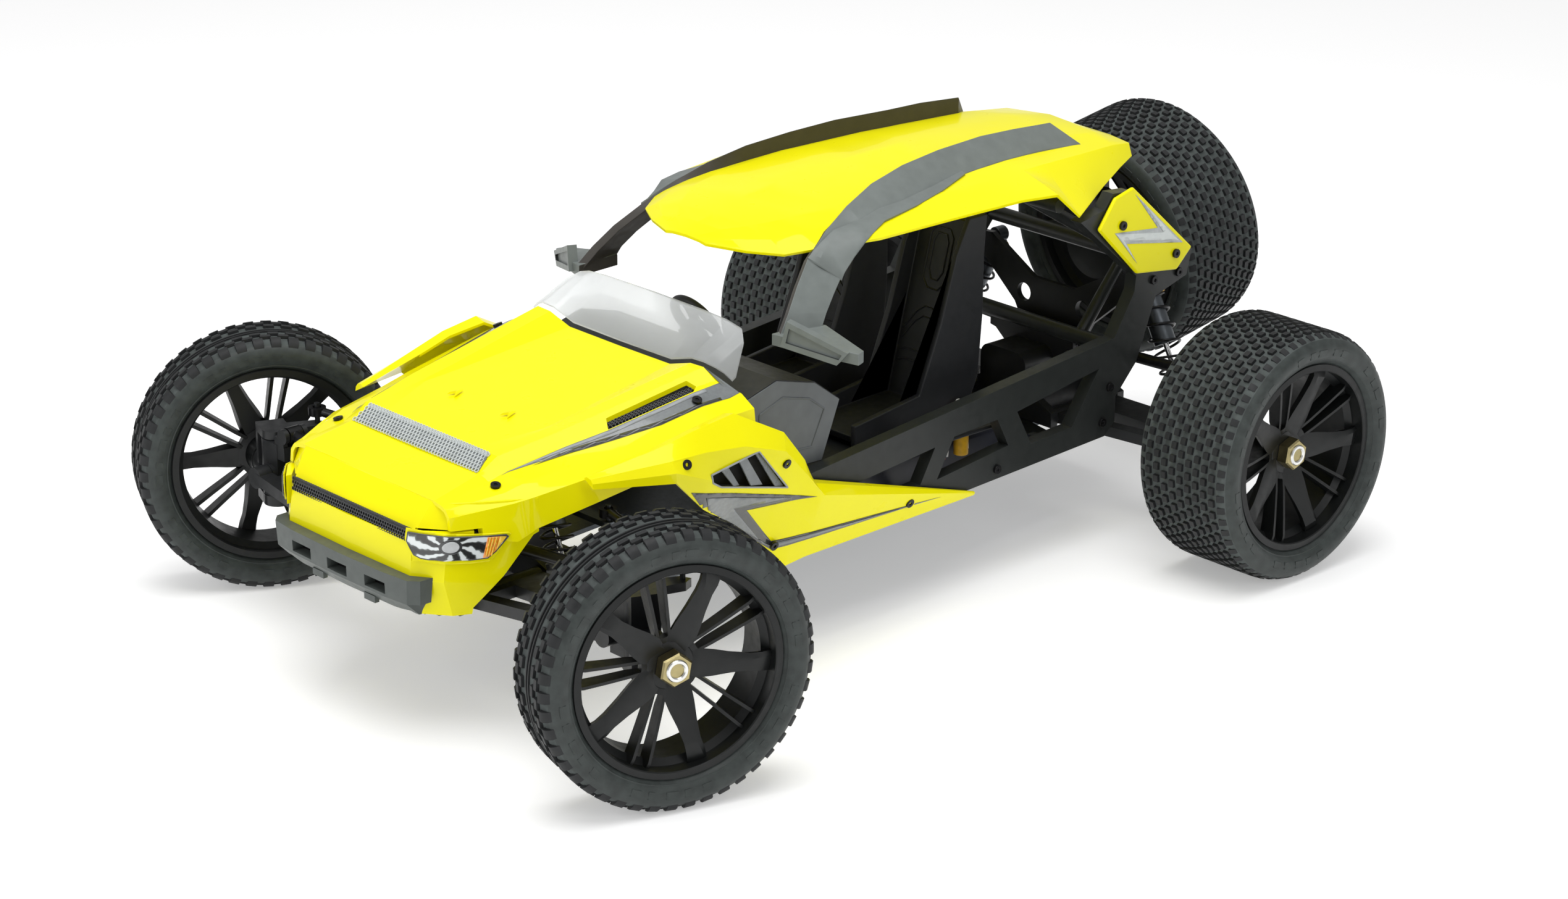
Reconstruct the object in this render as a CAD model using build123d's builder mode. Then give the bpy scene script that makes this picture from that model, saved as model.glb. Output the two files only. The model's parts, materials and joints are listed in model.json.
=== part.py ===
from build123d import *

import os
from collections import namedtuple
from math import cos, hypot, radians, sin

# A four-wheel-drive off-road model buggy.  Millimetres, +X forward, +Y to the
# car's left, +Z up.  The origin is on the ground under the middle of the car's
# length.  Outlines are given from mid-wheelbase, which lies MID_X ahead of it.

os.makedirs("parts", exist_ok=True)

# ---- driving dimensions -------------------------------------------------------
MID_X = 23.9
WHEELBASE = 484.0
STEER_REST = 21.0          # the steering stands turned to the car's right
WHEEL_TOE = 4.5            # and each wheel is set this much outward of its arm
RUNNING = 0.05             # radial clearance of a turning fit
GAP = 0.5                  # between neighbours that do not touch

FRONT_X = WHEELBASE / 2
REAR_X = -WHEELBASE / 2

Wheel = namedtuple("Wheel", "radius width lip bead dish hub_face spoke_face")
FRONT_WHEEL = Wheel(80.0, 47.0, 59.0, 18.0, 5.0, 8.0, 17.0)
REAR_WHEEL = Wheel(79.0, 75.0, 57.0, 31.0, 5.0, 18.0, 30.0)
NUT_FLATS = 17.0
NUT_HEIGHT = 8.0
AXLE_R = 4.0
SPOKE_START = -12.0        # how the wheels stand at rest

# Suspension: each corner is a parallelogram, so an arm and its upper link share
# one vector from the inner pivot to the outer one.
Corner = namedtuple("Corner", "x inner outer link_outer span fork shock_x shock_top shock_low")
FRONT = Corner(FRONT_X, (48, 72), (160, 84), (148, 110), 27.5, 20.5, -16, (66, 143), (88, 83))
REAR = Corner(REAR_X, (38, 62), (140, 66), (134, 110), 27.5, 21.0, -26, (64, 150), (106, 73))
KINGPIN_Y = 166.0
FRONT_TRACK = 201.5        # wheel centre with the wheels straight ahead
REAR_TRACK = 192.0
STEER_ARM = 26.0
TIE_ROD_RAKE = 42.0        # the rod's inner end lies this far behind its outer end
TIE_ROD_Z = 117.0
PIN_R = 3.0
LINK_PIN_R = 2.0

# Chassis and cockpit frame.
PLATE_Z = 54.0
PLATE_THICK = 3.0
MOUNT_X = -40.0            # four holes through the plate, for bolting the car down
MOUNT_SPACING_X = 240.0
MOUNT_SPACING_Y = 110.0
MOUNT_HOLE_R = 1.6
FRAME_Y = 100.0
FRAME_THICK = 9.0
SHELL = 2.4                # wall of the moulded body panels

# Spare wheel, behind the cabin, leaning back.
SPARE_X = -331.5
SPARE_Z = 157.5
SPARE_LEAN = 9.5


# ---- planes and shared shapes -------------------------------------------------
def side_plane(y):
    """Looks along the car's width: local x is forward, local y is up, normal to -Y."""
    return Plane(origin=(MID_X, y, 0), x_dir=(1, 0, 0), z_dir=(0, -1, 0))


def cross_plane(x):
    """Looks along the car's length: local x is to the left, local y is up, normal +X."""
    return Plane(origin=(MID_X + x, 0, 0), x_dir=(0, 1, 0), z_dir=(1, 0, 0))


def plan_plane(z):
    """Looks down on the car: local x is forward, local y is to the left."""
    return Plane(origin=(MID_X, 0, z))


def shift_line(points, depth):
    """The open line moved depth to its right, mitred at each corner."""
    normals = []
    for (x0, y0), (x1, y1) in zip(points, points[1:]):
        length = hypot(x1 - x0, y1 - y0)
        normals.append(((y1 - y0) / length, (x0 - x1) / length))
    moved = []
    for i, (x, y) in enumerate(points):
        before = normals[max(i - 1, 0)]
        after = normals[min(i, len(normals) - 1)]
        along = 1 + before[0] * after[0] + before[1] * after[1]
        scale = depth / max(along, 0.6)
        moved.append((x + (before[0] + after[0]) * scale, y + (before[1] + after[1]) * scale))
    return moved


def skin(stations, depth=SHELL):
    """A wall lofted through open section lines, each (x, [(y, z), ...])."""
    sections = []
    for x, line in stations:
        with BuildSketch(cross_plane(x)) as section:
            Polygon(*line, *reversed(shift_line(line, depth)), align=None)
        sections.append(section.sketch)
    loft(sections, ruled=True)


def whole(half):
    """A section line over both sides, from its half on the left, centre first."""
    right = [(-y, z) for y, z in reversed(half) if y > 0]
    return right + half


def slab(outline, plane, thickness, holes=()):
    """A flat plate of one outline with holes through it."""
    with BuildSketch(plane) as profile:
        Polygon(*outline, align=None)
        for hole in holes:
            Polygon(*hole, align=None, mode=Mode.SUBTRACT)
    extrude(profile.sketch, amount=thickness)


def rod(start, end, radius):
    """A round bar between two points."""
    line = Vector(*end) - Vector(*start)
    with BuildSketch(Plane(origin=start, z_dir=line)) as section:
        Circle(radius)
    extrude(section.sketch, amount=line.length)


def mirrored(left):
    """The same piece on the car's right side."""
    with BuildPart() as right:
        add(left.part)
        mirror(about=Plane.XZ, mode=Mode.REPLACE)
    return right


def both_sides(left):
    """Two separate solids, one on each side."""
    with BuildPart() as pair:
        add(left.part)
        mirror(about=Plane.XZ)
    return pair


def save(piece, name):
    piece.part.label = name
    export_step(piece.part, f"parts/{name}.step")


# ---- wheels -------------------------------------------------------------------
def wheel_plane(x, y, z, outward, turn=0.0, lean=0.0):
    """Origin at the wheel's centre, z axis along its axle and away from the car."""
    axis = Vector(0, outward, 0).rotate(Axis.Z, turn)
    if lean:
        axis = Vector(-cos(radians(lean)), 0, sin(radians(lean)))
    forward = Vector(0, 0, 1).cross(axis)
    return Plane(origin=(MID_X + x, y, z), x_dir=forward, z_dir=axis)


def turned_section(plane):
    """Local x is the radius and local y runs outward along the axle."""
    return Plane(origin=plane.origin, x_dir=plane.x_dir, z_dir=-plane.y_dir)


def make_tyre(plane, wheel):
    half = wheel.width / 2
    wall = 3.4
    mid = (wheel.lip + wheel.radius) / 2
    crown = wheel.radius - 7
    outer = [
        (wheel.lip, wheel.bead), (wheel.lip + 2.2, wheel.bead), (wheel.lip + 5, half - 1.5), (mid, half),
        (wheel.radius - 7, half - 1), (wheel.radius - 2, half - 4.5), (wheel.radius, half - 10),
    ]
    inner = [
        (wheel.lip, wheel.bead - wall), (wheel.lip + 5, half - 1.5 - wall),
        (mid, half - wall), (crown, half - 9),
    ]
    with BuildPart() as tyre:
        with BuildSketch(turned_section(plane)):
            Polygon(*outer, *[(r, -a) for r, a in reversed(outer)], align=None)
            Polygon(*inner, *[(r, -a) for r, a in reversed(inner)], align=None, mode=Mode.SUBTRACT)
        revolve(axis=Axis(plane.origin, plane.z_dir))
    return tyre


def spoke_windows(rim_r, hub_r):
    """The three openings between two broad spokes, for the first fifth of the face."""
    def at(radius, degrees_round, shift=0.0):
        angle = radians(degrees_round)
        return (radius * cos(angle) - shift * sin(angle), radius * sin(angle) + shift * cos(angle))

    side = [at(hub_r + 11, 0, 7), at(rim_r, 0, 8.5), at(rim_r, 20), at(rim_r, 36, -7.0),
            at(hub_r + 13, 36, -4.2)]
    other = [at(hub_r + 13, 36, 4.2), at(rim_r, 36, 7.0), at(rim_r, 52), at(rim_r, 72, -8.5),
             at(hub_r + 11, 72, -7)]
    slit = [at(hub_r + 14, 36, -1.0), at(rim_r, 36, -3.8), at(rim_r, 36, 3.8), at(hub_r + 14, 36, 1.0)]
    return side, slit, other


def make_rim(plane, wheel, fixed=False):
    """Barrel, spoked face and hub, with the axle and its nut as a second solid."""
    seat = wheel.lip - RUNNING
    wall = 2.4
    well = wheel.lip - 4
    edge = wheel.bead + 2.0
    face_r = seat - wall + 0.4
    back = -wheel.bead + 6 if wheel.width > 60 else -9.0
    stub = 1 if fixed else 14
    with BuildPart() as rim:
        with BuildSketch(turned_section(plane)):
            Polygon(
                (10, wheel.hub_face - wheel.dish), (10, wheel.hub_face),
                (face_r, wheel.spoke_face), (face_r, wheel.spoke_face - wheel.dish), align=None,
            )
        revolve(axis=Axis(plane.origin, plane.z_dir))
        with BuildSketch(plane.offset(-wheel.bead)):
            with PolarLocations(0, 5, start_angle=SPOKE_START):
                for window in spoke_windows(face_r + 1, 11):
                    Polygon(*window, align=None)
        extrude(amount=2 * wheel.bead, mode=Mode.SUBTRACT)
        with BuildSketch(turned_section(plane)):
            Polygon(
                (wheel.lip + 2, edge), (wheel.lip + 2, wheel.bead + RUNNING), (seat, wheel.bead + RUNNING),
                (seat, wheel.bead - 8), (well, wheel.bead - 11), (well, 8 - wheel.bead),
                (seat, 5 - wheel.bead), (seat, -wheel.bead - RUNNING), (wheel.lip + 2, -wheel.bead - RUNNING),
                (wheel.lip + 2, -edge), (seat - wall, -edge), (seat - wall, 4 - wheel.bead),
                (well - wall, 7 - wheel.bead), (well - wall, wheel.bead - 10),
                (seat - wall, wheel.bead - 7), (seat - wall, edge), align=None,
            )
            Polygon(
                (AXLE_R + RUNNING, back), (AXLE_R + RUNNING, wheel.hub_face), (13, wheel.hub_face),
                (13, wheel.hub_face - wheel.dish), (11, back), align=None,
            )
        revolve(axis=Axis(plane.origin, plane.z_dir))
    with BuildPart() as axle:
        with BuildSketch(plane.offset(wheel.hub_face + RUNNING)):
            RegularPolygon(NUT_FLATS / 2, 6, major_radius=False)
        extrude(amount=NUT_HEIGHT)
        with BuildSketch(plane.offset(back - stub)):
            Circle(AXLE_R)
        extrude(amount=wheel.hub_face + NUT_HEIGHT - back + stub)
    with BuildPart() as both:
        add(rim.part)
        add(axle.part)
    return both


# ---- suspension, left side ----------------------------------------------------
def arm_plane(corner):
    """On the inner pivot, local x along the hinge and local y along the arm."""
    (y0, z0), (y1, z1) = corner.inner, corner.outer
    along = Vector(0, y1 - y0, z1 - z0).normalized()
    return Plane(origin=(MID_X + corner.x, y0, z0), x_dir=(1, 0, 0), z_dir=Vector(1, 0, 0).cross(along))


def make_lower_arm(corner):
    plane = arm_plane(corner)
    (y0, z0), (y1, z1) = corner.inner, corner.outer
    reach = hypot(y1 - y0, z1 - z0)
    span, fork = corner.span - GAP, corner.fork
    shock_y = reach * (corner.shock_low[0] - y0) / (y1 - y0)
    thick = 7.0
    with BuildPart() as arm:
        slab([(-span, 0), (span, 0), (fork, reach), (-fork, reach)], plane.offset(-thick / 2), thick)
        for pivot_y, half, radius in ((0, span, 5.5), (reach, fork, 6.5)):
            with BuildSketch(Plane(plane.from_local_coords((-half, pivot_y, 0)), z_dir=(1, 0, 0))):
                Circle(radius)
            extrude(amount=2 * half)
        # the triangular opening between the two legs
        leg, tip = span - 9, fork - 8
        with BuildSketch(plane.offset(-10)):
            Polygon((-1, 12), (leg, 12), (tip, reach - 30), (4, reach - 24), align=None)
        extrude(amount=20, mode=Mode.SUBTRACT)
        # pockets for the upright's barrel and for the shock's lower eye
        with BuildSketch(plane.offset(-10)):
            with Locations((0, reach)):
                Rectangle(23, 22)
            with Locations((corner.shock_x, shock_y)):
                Rectangle(12, 26)
        extrude(amount=20, mode=Mode.SUBTRACT)
        # bore of the inner hinge, the outer hinge pin, and the shock's screw in its two lugs
        with BuildSketch(Plane(plane.from_local_coords((-span, 0, 0)), z_dir=(1, 0, 0))):
            Circle(PIN_R + RUNNING)
        extrude(amount=2 * span, mode=Mode.SUBTRACT)
        with BuildSketch(Plane(plane.from_local_coords((-fork, reach, 0)), z_dir=(1, 0, 0))):
            Circle(PIN_R)
        extrude(amount=2 * fork)
        eye = (MID_X + corner.x + corner.shock_x, *corner.shock_low)
        for step in (-8.5, 6.0):
            with BuildSketch(Plane((eye[0] + step, eye[1], eye[2]), x_dir=(0, 1, 0), z_dir=(1, 0, 0))):
                Circle(4)
                with Locations((0, -4)):
                    Rectangle(8, 8)
            extrude(amount=2.5)
        rod((eye[0] - 8, eye[1], eye[2]), (eye[0] + 8, eye[1], eye[2]), LINK_PIN_R - 0.5)
    return arm


def make_upper_link(corner):
    (y0, z0), (y1, z1) = corner.inner, corner.outer
    outer = Vector(MID_X + corner.x, *corner.link_outer)
    inner = outer - Vector(0, y1 - y0, z1 - z0)
    with BuildPart() as link:
        rod(inner, outer, 3.6)
        for point in (inner, outer):
            rod(point - Vector(4.5, 0, 0), point + Vector(4.5, 0, 0), 5.0)
        for point in (inner, outer):
            with BuildSketch(Plane(origin=point - Vector(4.5, 0, 0), z_dir=(1, 0, 0))):
                Circle(LINK_PIN_R + RUNNING)
            extrude(amount=9, mode=Mode.SUBTRACT)
    return link


def upright_lugs(corner, half_gap=5.2, ear=3.0):
    """Two ears with a pin that hold the upper link's outer eye."""
    x = MID_X + corner.x
    y, z = corner.link_outer
    for start in (half_gap, -half_gap - ear):
        with BuildSketch(Plane((x + start, y, z), x_dir=(0, 1, 0), z_dir=(1, 0, 0))) as profile:
            Circle(4.6)
            with Locations((3, -8)):
                Rectangle(9, 14)
        extrude(profile.sketch, amount=ear)
    rod((x - half_gap - ear, y, z), (x + half_gap + ear, y, z), LINK_PIN_R)


def make_caster_block(corner):
    """Front upright: swings with the arms and carries the kingpins' bores."""
    x = MID_X + corner.x
    y, z = corner.outer
    with BuildPart() as block:
        with BuildSketch(plan_plane(69)):
            with Locations((corner.x, KINGPIN_Y)):
                Circle(8.5)
            with Locations((corner.x, KINGPIN_Y - 7)):
                Rectangle(17, 12)
        extrude(amount=35)
        rod((x - 11, y, z), (x + 11, y, z), 6.3)
        with BuildSketch(Plane((x - 8.2, 0, 0), x_dir=(0, 1, 0), z_dir=(1, 0, 0))):
            Polygon((146, 95), (154, 95), (154, 103.5), (146, 103.5), align=None)
        extrude(amount=16.4)
        upright_lugs(corner)
        with BuildSketch(Plane((x - 12, y, z), z_dir=(1, 0, 0))):
            Circle(PIN_R + RUNNING)
        extrude(amount=24, mode=Mode.SUBTRACT)
        with BuildSketch(plan_plane(60)):
            with Locations((corner.x, KINGPIN_Y)):
                Circle(2.5 + RUNNING)
        extrude(amount=15, mode=Mode.SUBTRACT)
        with BuildSketch(plan_plane(98)):
            with Locations((corner.x, KINGPIN_Y)):
                Circle(2.5 + RUNNING)
        extrude(amount=15, mode=Mode.SUBTRACT)
    return block


def make_hub_carrier(corner, axle_z):
    """Rear upright: bearing housing with the arm's barrel below and the link's ears above."""
    x = MID_X + corner.x
    y, z = corner.outer
    with BuildPart() as carrier:
        with BuildSketch(side_plane(162)):
            with Locations((corner.x, axle_z)):
                Circle(12)
        extrude(amount=30)
        rod((x - 11, y, z), (x + 11, y, z), 6.3)
        with BuildSketch(Plane((x - 8.2, 0, 0), x_dir=(0, 1, 0), z_dir=(1, 0, 0))):
            Polygon((133, 88), (146, 88), (142, 102), (131, 102), align=None)
        extrude(amount=16.4)
        upright_lugs(corner)
        with BuildSketch(Plane((x - 12, y, z), z_dir=(1, 0, 0))):
            Circle(PIN_R + RUNNING)
        extrude(amount=24, mode=Mode.SUBTRACT)
        with BuildSketch(side_plane(162)):
            with Locations((corner.x, axle_z)):
                Circle(AXLE_R + RUNNING)
        extrude(amount=20, mode=Mode.SUBTRACT)
    return carrier


def shock_plane(corner):
    """On the top eye, z axis up along the shock."""
    top = Vector(MID_X + corner.x + corner.shock_x, *corner.shock_top)
    low = Vector(MID_X + corner.x + corner.shock_x, *corner.shock_low)
    return Plane(origin=top, x_dir=(1, 0, 0), z_dir=top - low), (top - low).length


def make_shock(corner, bore_r):
    """Body with top eye, shaft with lower eye and spring cup, and the coil between."""
    plane, length = shock_plane(corner)
    body_len = length * 0.5
    eye_half = 4.0
    low = plane.origin - plane.z_dir * length
    cup = length - 13.0            # top face of the spring cup, below the top eye
    collar = 12.0                  # lower face of the adjusting collar
    with BuildPart() as body:
        with BuildSketch(plane.offset(-body_len)):
            Circle(bore_r)
        extrude(amount=body_len - 4)
        with BuildSketch(plane.offset(-collar)):
            Circle(bore_r + 3.4)
        extrude(amount=4)
        rod(plane.origin - Vector(eye_half, 0, 0), plane.origin + Vector(eye_half, 0, 0), 5.2)
        with BuildSketch(Plane(origin=plane.origin - Vector(5, 0, 0), z_dir=(1, 0, 0))):
            Circle(LINK_PIN_R + RUNNING)
        extrude(amount=10, mode=Mode.SUBTRACT)
        with BuildSketch(plane.offset(-body_len)):
            Circle(1.75 + RUNNING)
        extrude(amount=body_len - 8, mode=Mode.SUBTRACT)
    with BuildPart() as shaft:
        with BuildSketch(plane.offset(-length + 4)):
            Circle(1.75)
        extrude(amount=length - 4 - body_len + 14)
        with BuildSketch(plane.offset(-cup - 3.5)):
            Circle(bore_r + 3.4)
        extrude(amount=3.5)
        rod(low - Vector(eye_half, 0, 0), low + Vector(eye_half, 0, 0), 4.6)
        with BuildSketch(Plane(origin=low - Vector(5, 0, 0), z_dir=(1, 0, 0))):
            Circle(LINK_PIN_R + 0.3)
        extrude(amount=10, mode=Mode.SUBTRACT)
    wire = 0.9
    height = cup - collar - 2 * wire - 0.3
    radius = bore_r + 2.2
    with BuildPart() as coil:
        base = plane.origin - plane.z_dir * (cup - wire - 0.15)
        with BuildLine():
            turns = Helix(height / 6.5, height, radius, center=base, direction=plane.z_dir)
        with BuildSketch(Plane(origin=turns @ 0, z_dir=turns % 0)):
            Circle(wire)
        sweep(path=turns, is_frenet=True)
    return body, shaft, coil


# ---- steering -----------------------------------------------------------------
def knuckle_plane(side, z=0.0):
    """On the kingpin, local x ahead of the turned wheel, local y to the car's left."""
    ahead = Vector(1, 0, 0).rotate(Axis.Z, -STEER_REST)
    return Plane(origin=(MID_X + FRONT_X, side * KINGPIN_Y, z), x_dir=ahead, z_dir=(0, 0, 1))


def axle_turn(side):
    """How far one front wheel's axle stands turned, in degrees about +Z."""
    return side * WHEEL_TOE - STEER_REST


def front_wheel_plane(side):
    offset = Vector(0, side * (FRONT_TRACK - KINGPIN_Y), 0).rotate(Axis.Z, axle_turn(side))
    return wheel_plane(FRONT_X + offset.X, side * KINGPIN_Y + offset.Y, FRONT_WHEEL.radius, side, axle_turn(side))


def make_knuckle(side):
    """Steered C round the caster block, with its steering arm and axle housing."""
    wall_in, wall_out = side * 10.0, side * 14.5
    with BuildPart() as knuckle:
        for z, thick in ((62.0, 6.5), (104.5, 5.0)):
            with BuildSketch(knuckle_plane(side, z)):
                Circle(8.5)
                with Locations((0, wall_out / 2)):
                    Rectangle(17, abs(wall_out))
            extrude(amount=thick)
        with BuildSketch(knuckle_plane(side, 104.5)):
            with BuildLine():
                Polyline((0, 7), (-STEER_ARM, 5), (-STEER_ARM - 5, 0), (-STEER_ARM, -5), (0, -7), close=True)
            make_face()
        extrude(amount=5.0)
        with BuildSketch(knuckle_plane(side, 62.0)):
            with Locations((0, (wall_in + wall_out) / 2)):
                Rectangle(17, abs(wall_out - wall_in))
        extrude(amount=47.0)
        outward = front_wheel_plane(side).z_dir
        start = Vector(MID_X + FRONT_X, side * KINGPIN_Y, FRONT_WHEEL.radius) + outward * abs(wall_in)
        with BuildSketch(Plane(origin=start, z_dir=outward)):
            Circle(10.5)
        extrude(amount=15.5)
        with BuildSketch(Plane(origin=start, z_dir=outward)):
            Circle(AXLE_R + RUNNING)
        extrude(amount=20, mode=Mode.SUBTRACT)
        for z, long in ((66.0, 8.0), (99.0, 8.0)):
            with BuildSketch(knuckle_plane(side, z)):
                Circle(2.5)
            extrude(amount=long)
        with BuildSketch(knuckle_plane(side, 109.0)):
            with Locations((-STEER_ARM, 0)):
                Circle(1.6)
        extrude(amount=13.0)
    return knuckle


def tie_rod_ends(side):
    outer = knuckle_plane(side, TIE_ROD_Z).from_local_coords((-STEER_ARM, 0, 0))
    outer = Vector(outer.X, outer.Y, TIE_ROD_Z)
    (y0, z0), (y1, z1) = FRONT.inner, FRONT.outer
    return outer - Vector(TIE_ROD_RAKE, side * (y1 - y0), z1 - z0), outer


def make_tie_rod(side):
    inner, outer = tie_rod_ends(side)
    eye_r, hole_r, eye_height = 5.4, 2.6, 5.0
    with BuildPart() as tie_rod:
        rod(inner, outer, 2.8)
        for point in (inner, outer):
            with BuildSketch(Plane(origin=point - Vector(0, 0, eye_height / 2))):
                Circle(eye_r)
            extrude(amount=eye_height)
        for point in (inner, outer):
            with BuildSketch(Plane(origin=point - Vector(0, 0, eye_height))):
                Circle(hole_r)
            extrude(amount=2 * eye_height, mode=Mode.SUBTRACT)
    return tie_rod


def make_steering():
    """Servo with its shaft, the horn on it, and the cross link on the horn's pin."""
    left, _ = tie_rod_ends(1)
    right, _ = tie_rod_ends(-1)
    centre = (left + right) * 0.5
    tip = Vector(STEER_ARM, 0, 0).rotate(Axis.Z, -STEER_REST)
    shaft = Vector(centre.X, centre.Y, 0) + tip
    link_z = left.Z - 8.5
    with BuildPart() as servo:
        with BuildSketch(Plane(origin=(shaft.X - 13, 0, PLATE_Z + PLATE_THICK + 0.2))):
            Rectangle(34, 20)
        extrude(amount=28)
        with BuildSketch(Plane(origin=(shaft.X - 16, 0, PLATE_Z + PLATE_THICK + 20))):
            Rectangle(44, 18)
        extrude(amount=2.5)
        with BuildSketch(Plane(origin=(shaft.X, 0, 80))):
            Circle(3)
        extrude(amount=link_z - 80 - 0.8)
    with BuildPart() as horn:
        with BuildSketch(Plane(origin=(shaft.X, shaft.Y, link_z - 4.8))):
            Circle(6)
            with Locations((centre.X - shaft.X, centre.Y - shaft.Y)):
                Circle(4.5)
            make_hull()
            Circle(3 + RUNNING, mode=Mode.SUBTRACT)
        extrude(amount=4.4)
        with BuildSketch(Plane(origin=(centre.X, centre.Y, link_z - 1))):
            Circle(2)
        extrude(amount=4.5)
    with BuildPart() as link:
        with BuildSketch(Plane(origin=(centre.X, centre.Y, link_z))):
            Rectangle(8, left.Y - right.Y)
            with Locations((0, (left.Y - right.Y) / 2), (0, (right.Y - left.Y) / 2)):
                Circle(4)
            Circle(2 + RUNNING, mode=Mode.SUBTRACT)
        extrude(amount=3.5)
        for end in (left, right):
            with BuildSketch(Plane(origin=(end.X, end.Y, link_z + 3))):
                Circle(1.6)
            extrude(amount=10)
    return servo, horn, link


# ---- bulkheads, plate, drive --------------------------------------------------
def make_bulkhead(corner, base_half, top_z):
    """Gear housing with the ears and pins of both arms, for one axle."""
    x = MID_X + corner.x
    y0, z0 = corner.inner
    floor = PLATE_Z + PLATE_THICK + 0.2
    dy, dz = corner.outer[0] - y0, corner.outer[1] - z0
    ly, lz = corner.link_outer[0] - dy, corner.link_outer[1] - dz
    pin_half = corner.span + 6.5
    with BuildPart() as bulkhead:
        with BuildSketch(Plane(origin=(x, 0, floor))):
            Rectangle(2 * pin_half, 2 * base_half)
        extrude(amount=top_z - floor)
        fillet(bulkhead.edges().filter_by(Axis.X).group_by(Axis.Z)[-1], 8)
        for start in (corner.span + GAP, -pin_half):
            with BuildSketch(Plane((x + start, 0, 0), x_dir=(0, 1, 0), z_dir=(1, 0, 0))):
                Polygon(
                    (-y0 - 6, max(z0 - 6, floor)), (y0 + 6, max(z0 - 6, floor)), (y0 + 6, z0 + 5),
                    (base_half, z0 + 16), (-base_half, z0 + 16), (-y0 - 6, z0 + 5), align=None,
                )
            extrude(amount=pin_half - corner.span - GAP)
        for start in (5.2, -8.2):
            with BuildSketch(Plane((x + start, 0, 0), x_dir=(0, 1, 0), z_dir=(1, 0, 0))):
                Polygon(
                    (-ly - 5, lz - 4), (-ly, lz - 5), (-base_half + 4, top_z - 12), (base_half - 4, top_z - 12),
                    (ly, lz - 5), (ly + 5, lz - 4), (ly + 5, lz + 4), (ly, lz + 5), (-ly, lz + 5), (-ly - 5, lz + 4),
                    align=None,
                )
            extrude(amount=3)
        for side in (1, -1):
            rod((x - pin_half, side * y0, z0), (x + pin_half, side * y0, z0), PIN_R)
            rod((x - 8, side * ly, lz), (x + 8, side * ly, lz), LINK_PIN_R)
    return bulkhead


def make_tower(corner, foot_half, foot_z, plate_shift):
    """Upright plate that carries the two shocks' top eyes on its pins."""
    y, z = corner.shock_top
    plane = cross_plane(corner.x + corner.shock_x + plate_shift)
    with BuildPart() as tower:
        with BuildSketch(plane):
            Polygon(
                (-foot_half, foot_z), (foot_half, foot_z), (foot_half + 8, foot_z + 14), (y + 7, z - 4),
                (y + 5, z + 5), (y - 8, z + 6), (18, foot_z + 34), (-18, foot_z + 34), (-y + 8, z + 6),
                (-y - 5, z + 5), (-y - 7, z - 4), (-foot_half - 8, foot_z + 14), align=None,
            )
            with Locations((26, foot_z + 22), (-26, foot_z + 22)):
                Circle(6, mode=Mode.SUBTRACT)
        extrude(amount=4)
        pin_from = 4 if plate_shift < 0 else 0
        pin_long = 17 if plate_shift < 0 else -17
        for side in (1, -1):
            with BuildSketch(plane.offset(pin_from)):
                with Locations((side * y, z)):
                    Circle(LINK_PIN_R)
            extrude(amount=pin_long)
    return tower


with BuildPart() as chassis_plate:
    slab(
        [(267, -23), (267, 23), (205, 30), (165, 58), (62, 84), (-200, 64), (-208, 28),
         (-282, 28), (-282, -28), (-208, -28), (-200, -64), (62, -84), (165, -58), (205, -30)],
        plan_plane(PLATE_Z), PLATE_THICK,
        holes=[[(150, -18), (150, 18), (90, 24), (90, -24)]],
    )
    with BuildSketch(plan_plane(PLATE_Z)):
        with Locations((MOUNT_X, 0)):
            with GridLocations(MOUNT_SPACING_X, MOUNT_SPACING_Y, 2, 2):
                Circle(MOUNT_HOLE_R)
    extrude(amount=PLATE_THICK, mode=Mode.SUBTRACT)
    # raised outriggers carry the side frames
    for x, foot_y, top_z in ((40, 70, 73), (-56, 66, 76), (-150, 56, 80)):
        for side in (1, -1):
            with BuildSketch(cross_plane(x)):
                Polygon((side * foot_y, PLATE_Z + 1), (side * (foot_y + 10), PLATE_Z + 1),
                        (side * 90.7, top_z - 12), (side * 90.7, top_z), (side * 84, top_z), align=None)
            extrude(amount=6)
save(chassis_plate, "chassis_plate")

with BuildPart() as bulkheads:
    add(make_bulkhead(FRONT, 22, 92).part)
    add(make_bulkhead(REAR, 20, 100).part)
    add(make_tower(FRONT, 26, 92.4, -15).part)
    add(make_tower(REAR, 26, 100.4, 11).part)
save(bulkheads, "bulkheads")

servo, horn, link = make_steering()
save(servo, "steering_servo")
save(horn, "servo_horn")
save(link, "drag_link")

with BuildPart() as motor:
    can = Plane(origin=(MID_X - 204, -34, 80), z_dir=(1, 0, 0))
    with BuildSketch(can):
        Circle(18)
    extrude(amount=58)
    chamfer(motor.edges().filter_by(GeomType.CIRCLE), 1.5)
    with BuildSketch(can):
        Circle(2.5)
    extrude(amount=-2)
    with BuildSketch(Plane(origin=(MID_X - 180, -34, PLATE_Z + PLATE_THICK + 0.2))):
        Rectangle(16, 24)
    extrude(amount=10)
save(motor, "motor")

with BuildPart() as battery_pack:
    with BuildSketch(Plane(origin=(MID_X - 72, 40, PLATE_Z + PLATE_THICK + 0.2))):
        Rectangle(138, 46)
    extrude(amount=25)
    fillet(battery_pack.edges().filter_by(Axis.X), 5)
save(battery_pack, "battery_pack")

with BuildPart() as speed_controller:
    with BuildSketch(Plane(origin=(MID_X - 60, -40, PLATE_Z + PLATE_THICK + 0.2))):
        Rectangle(60, 42)
    extrude(amount=18)
    with BuildSketch(Plane(origin=(MID_X - 60, -40, PLATE_Z + PLATE_THICK + 18))):
        with GridLocations(0, 5, 1, 7):
            Rectangle(50, 2)
    extrude(amount=8)
save(speed_controller, "speed_controller")

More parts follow.
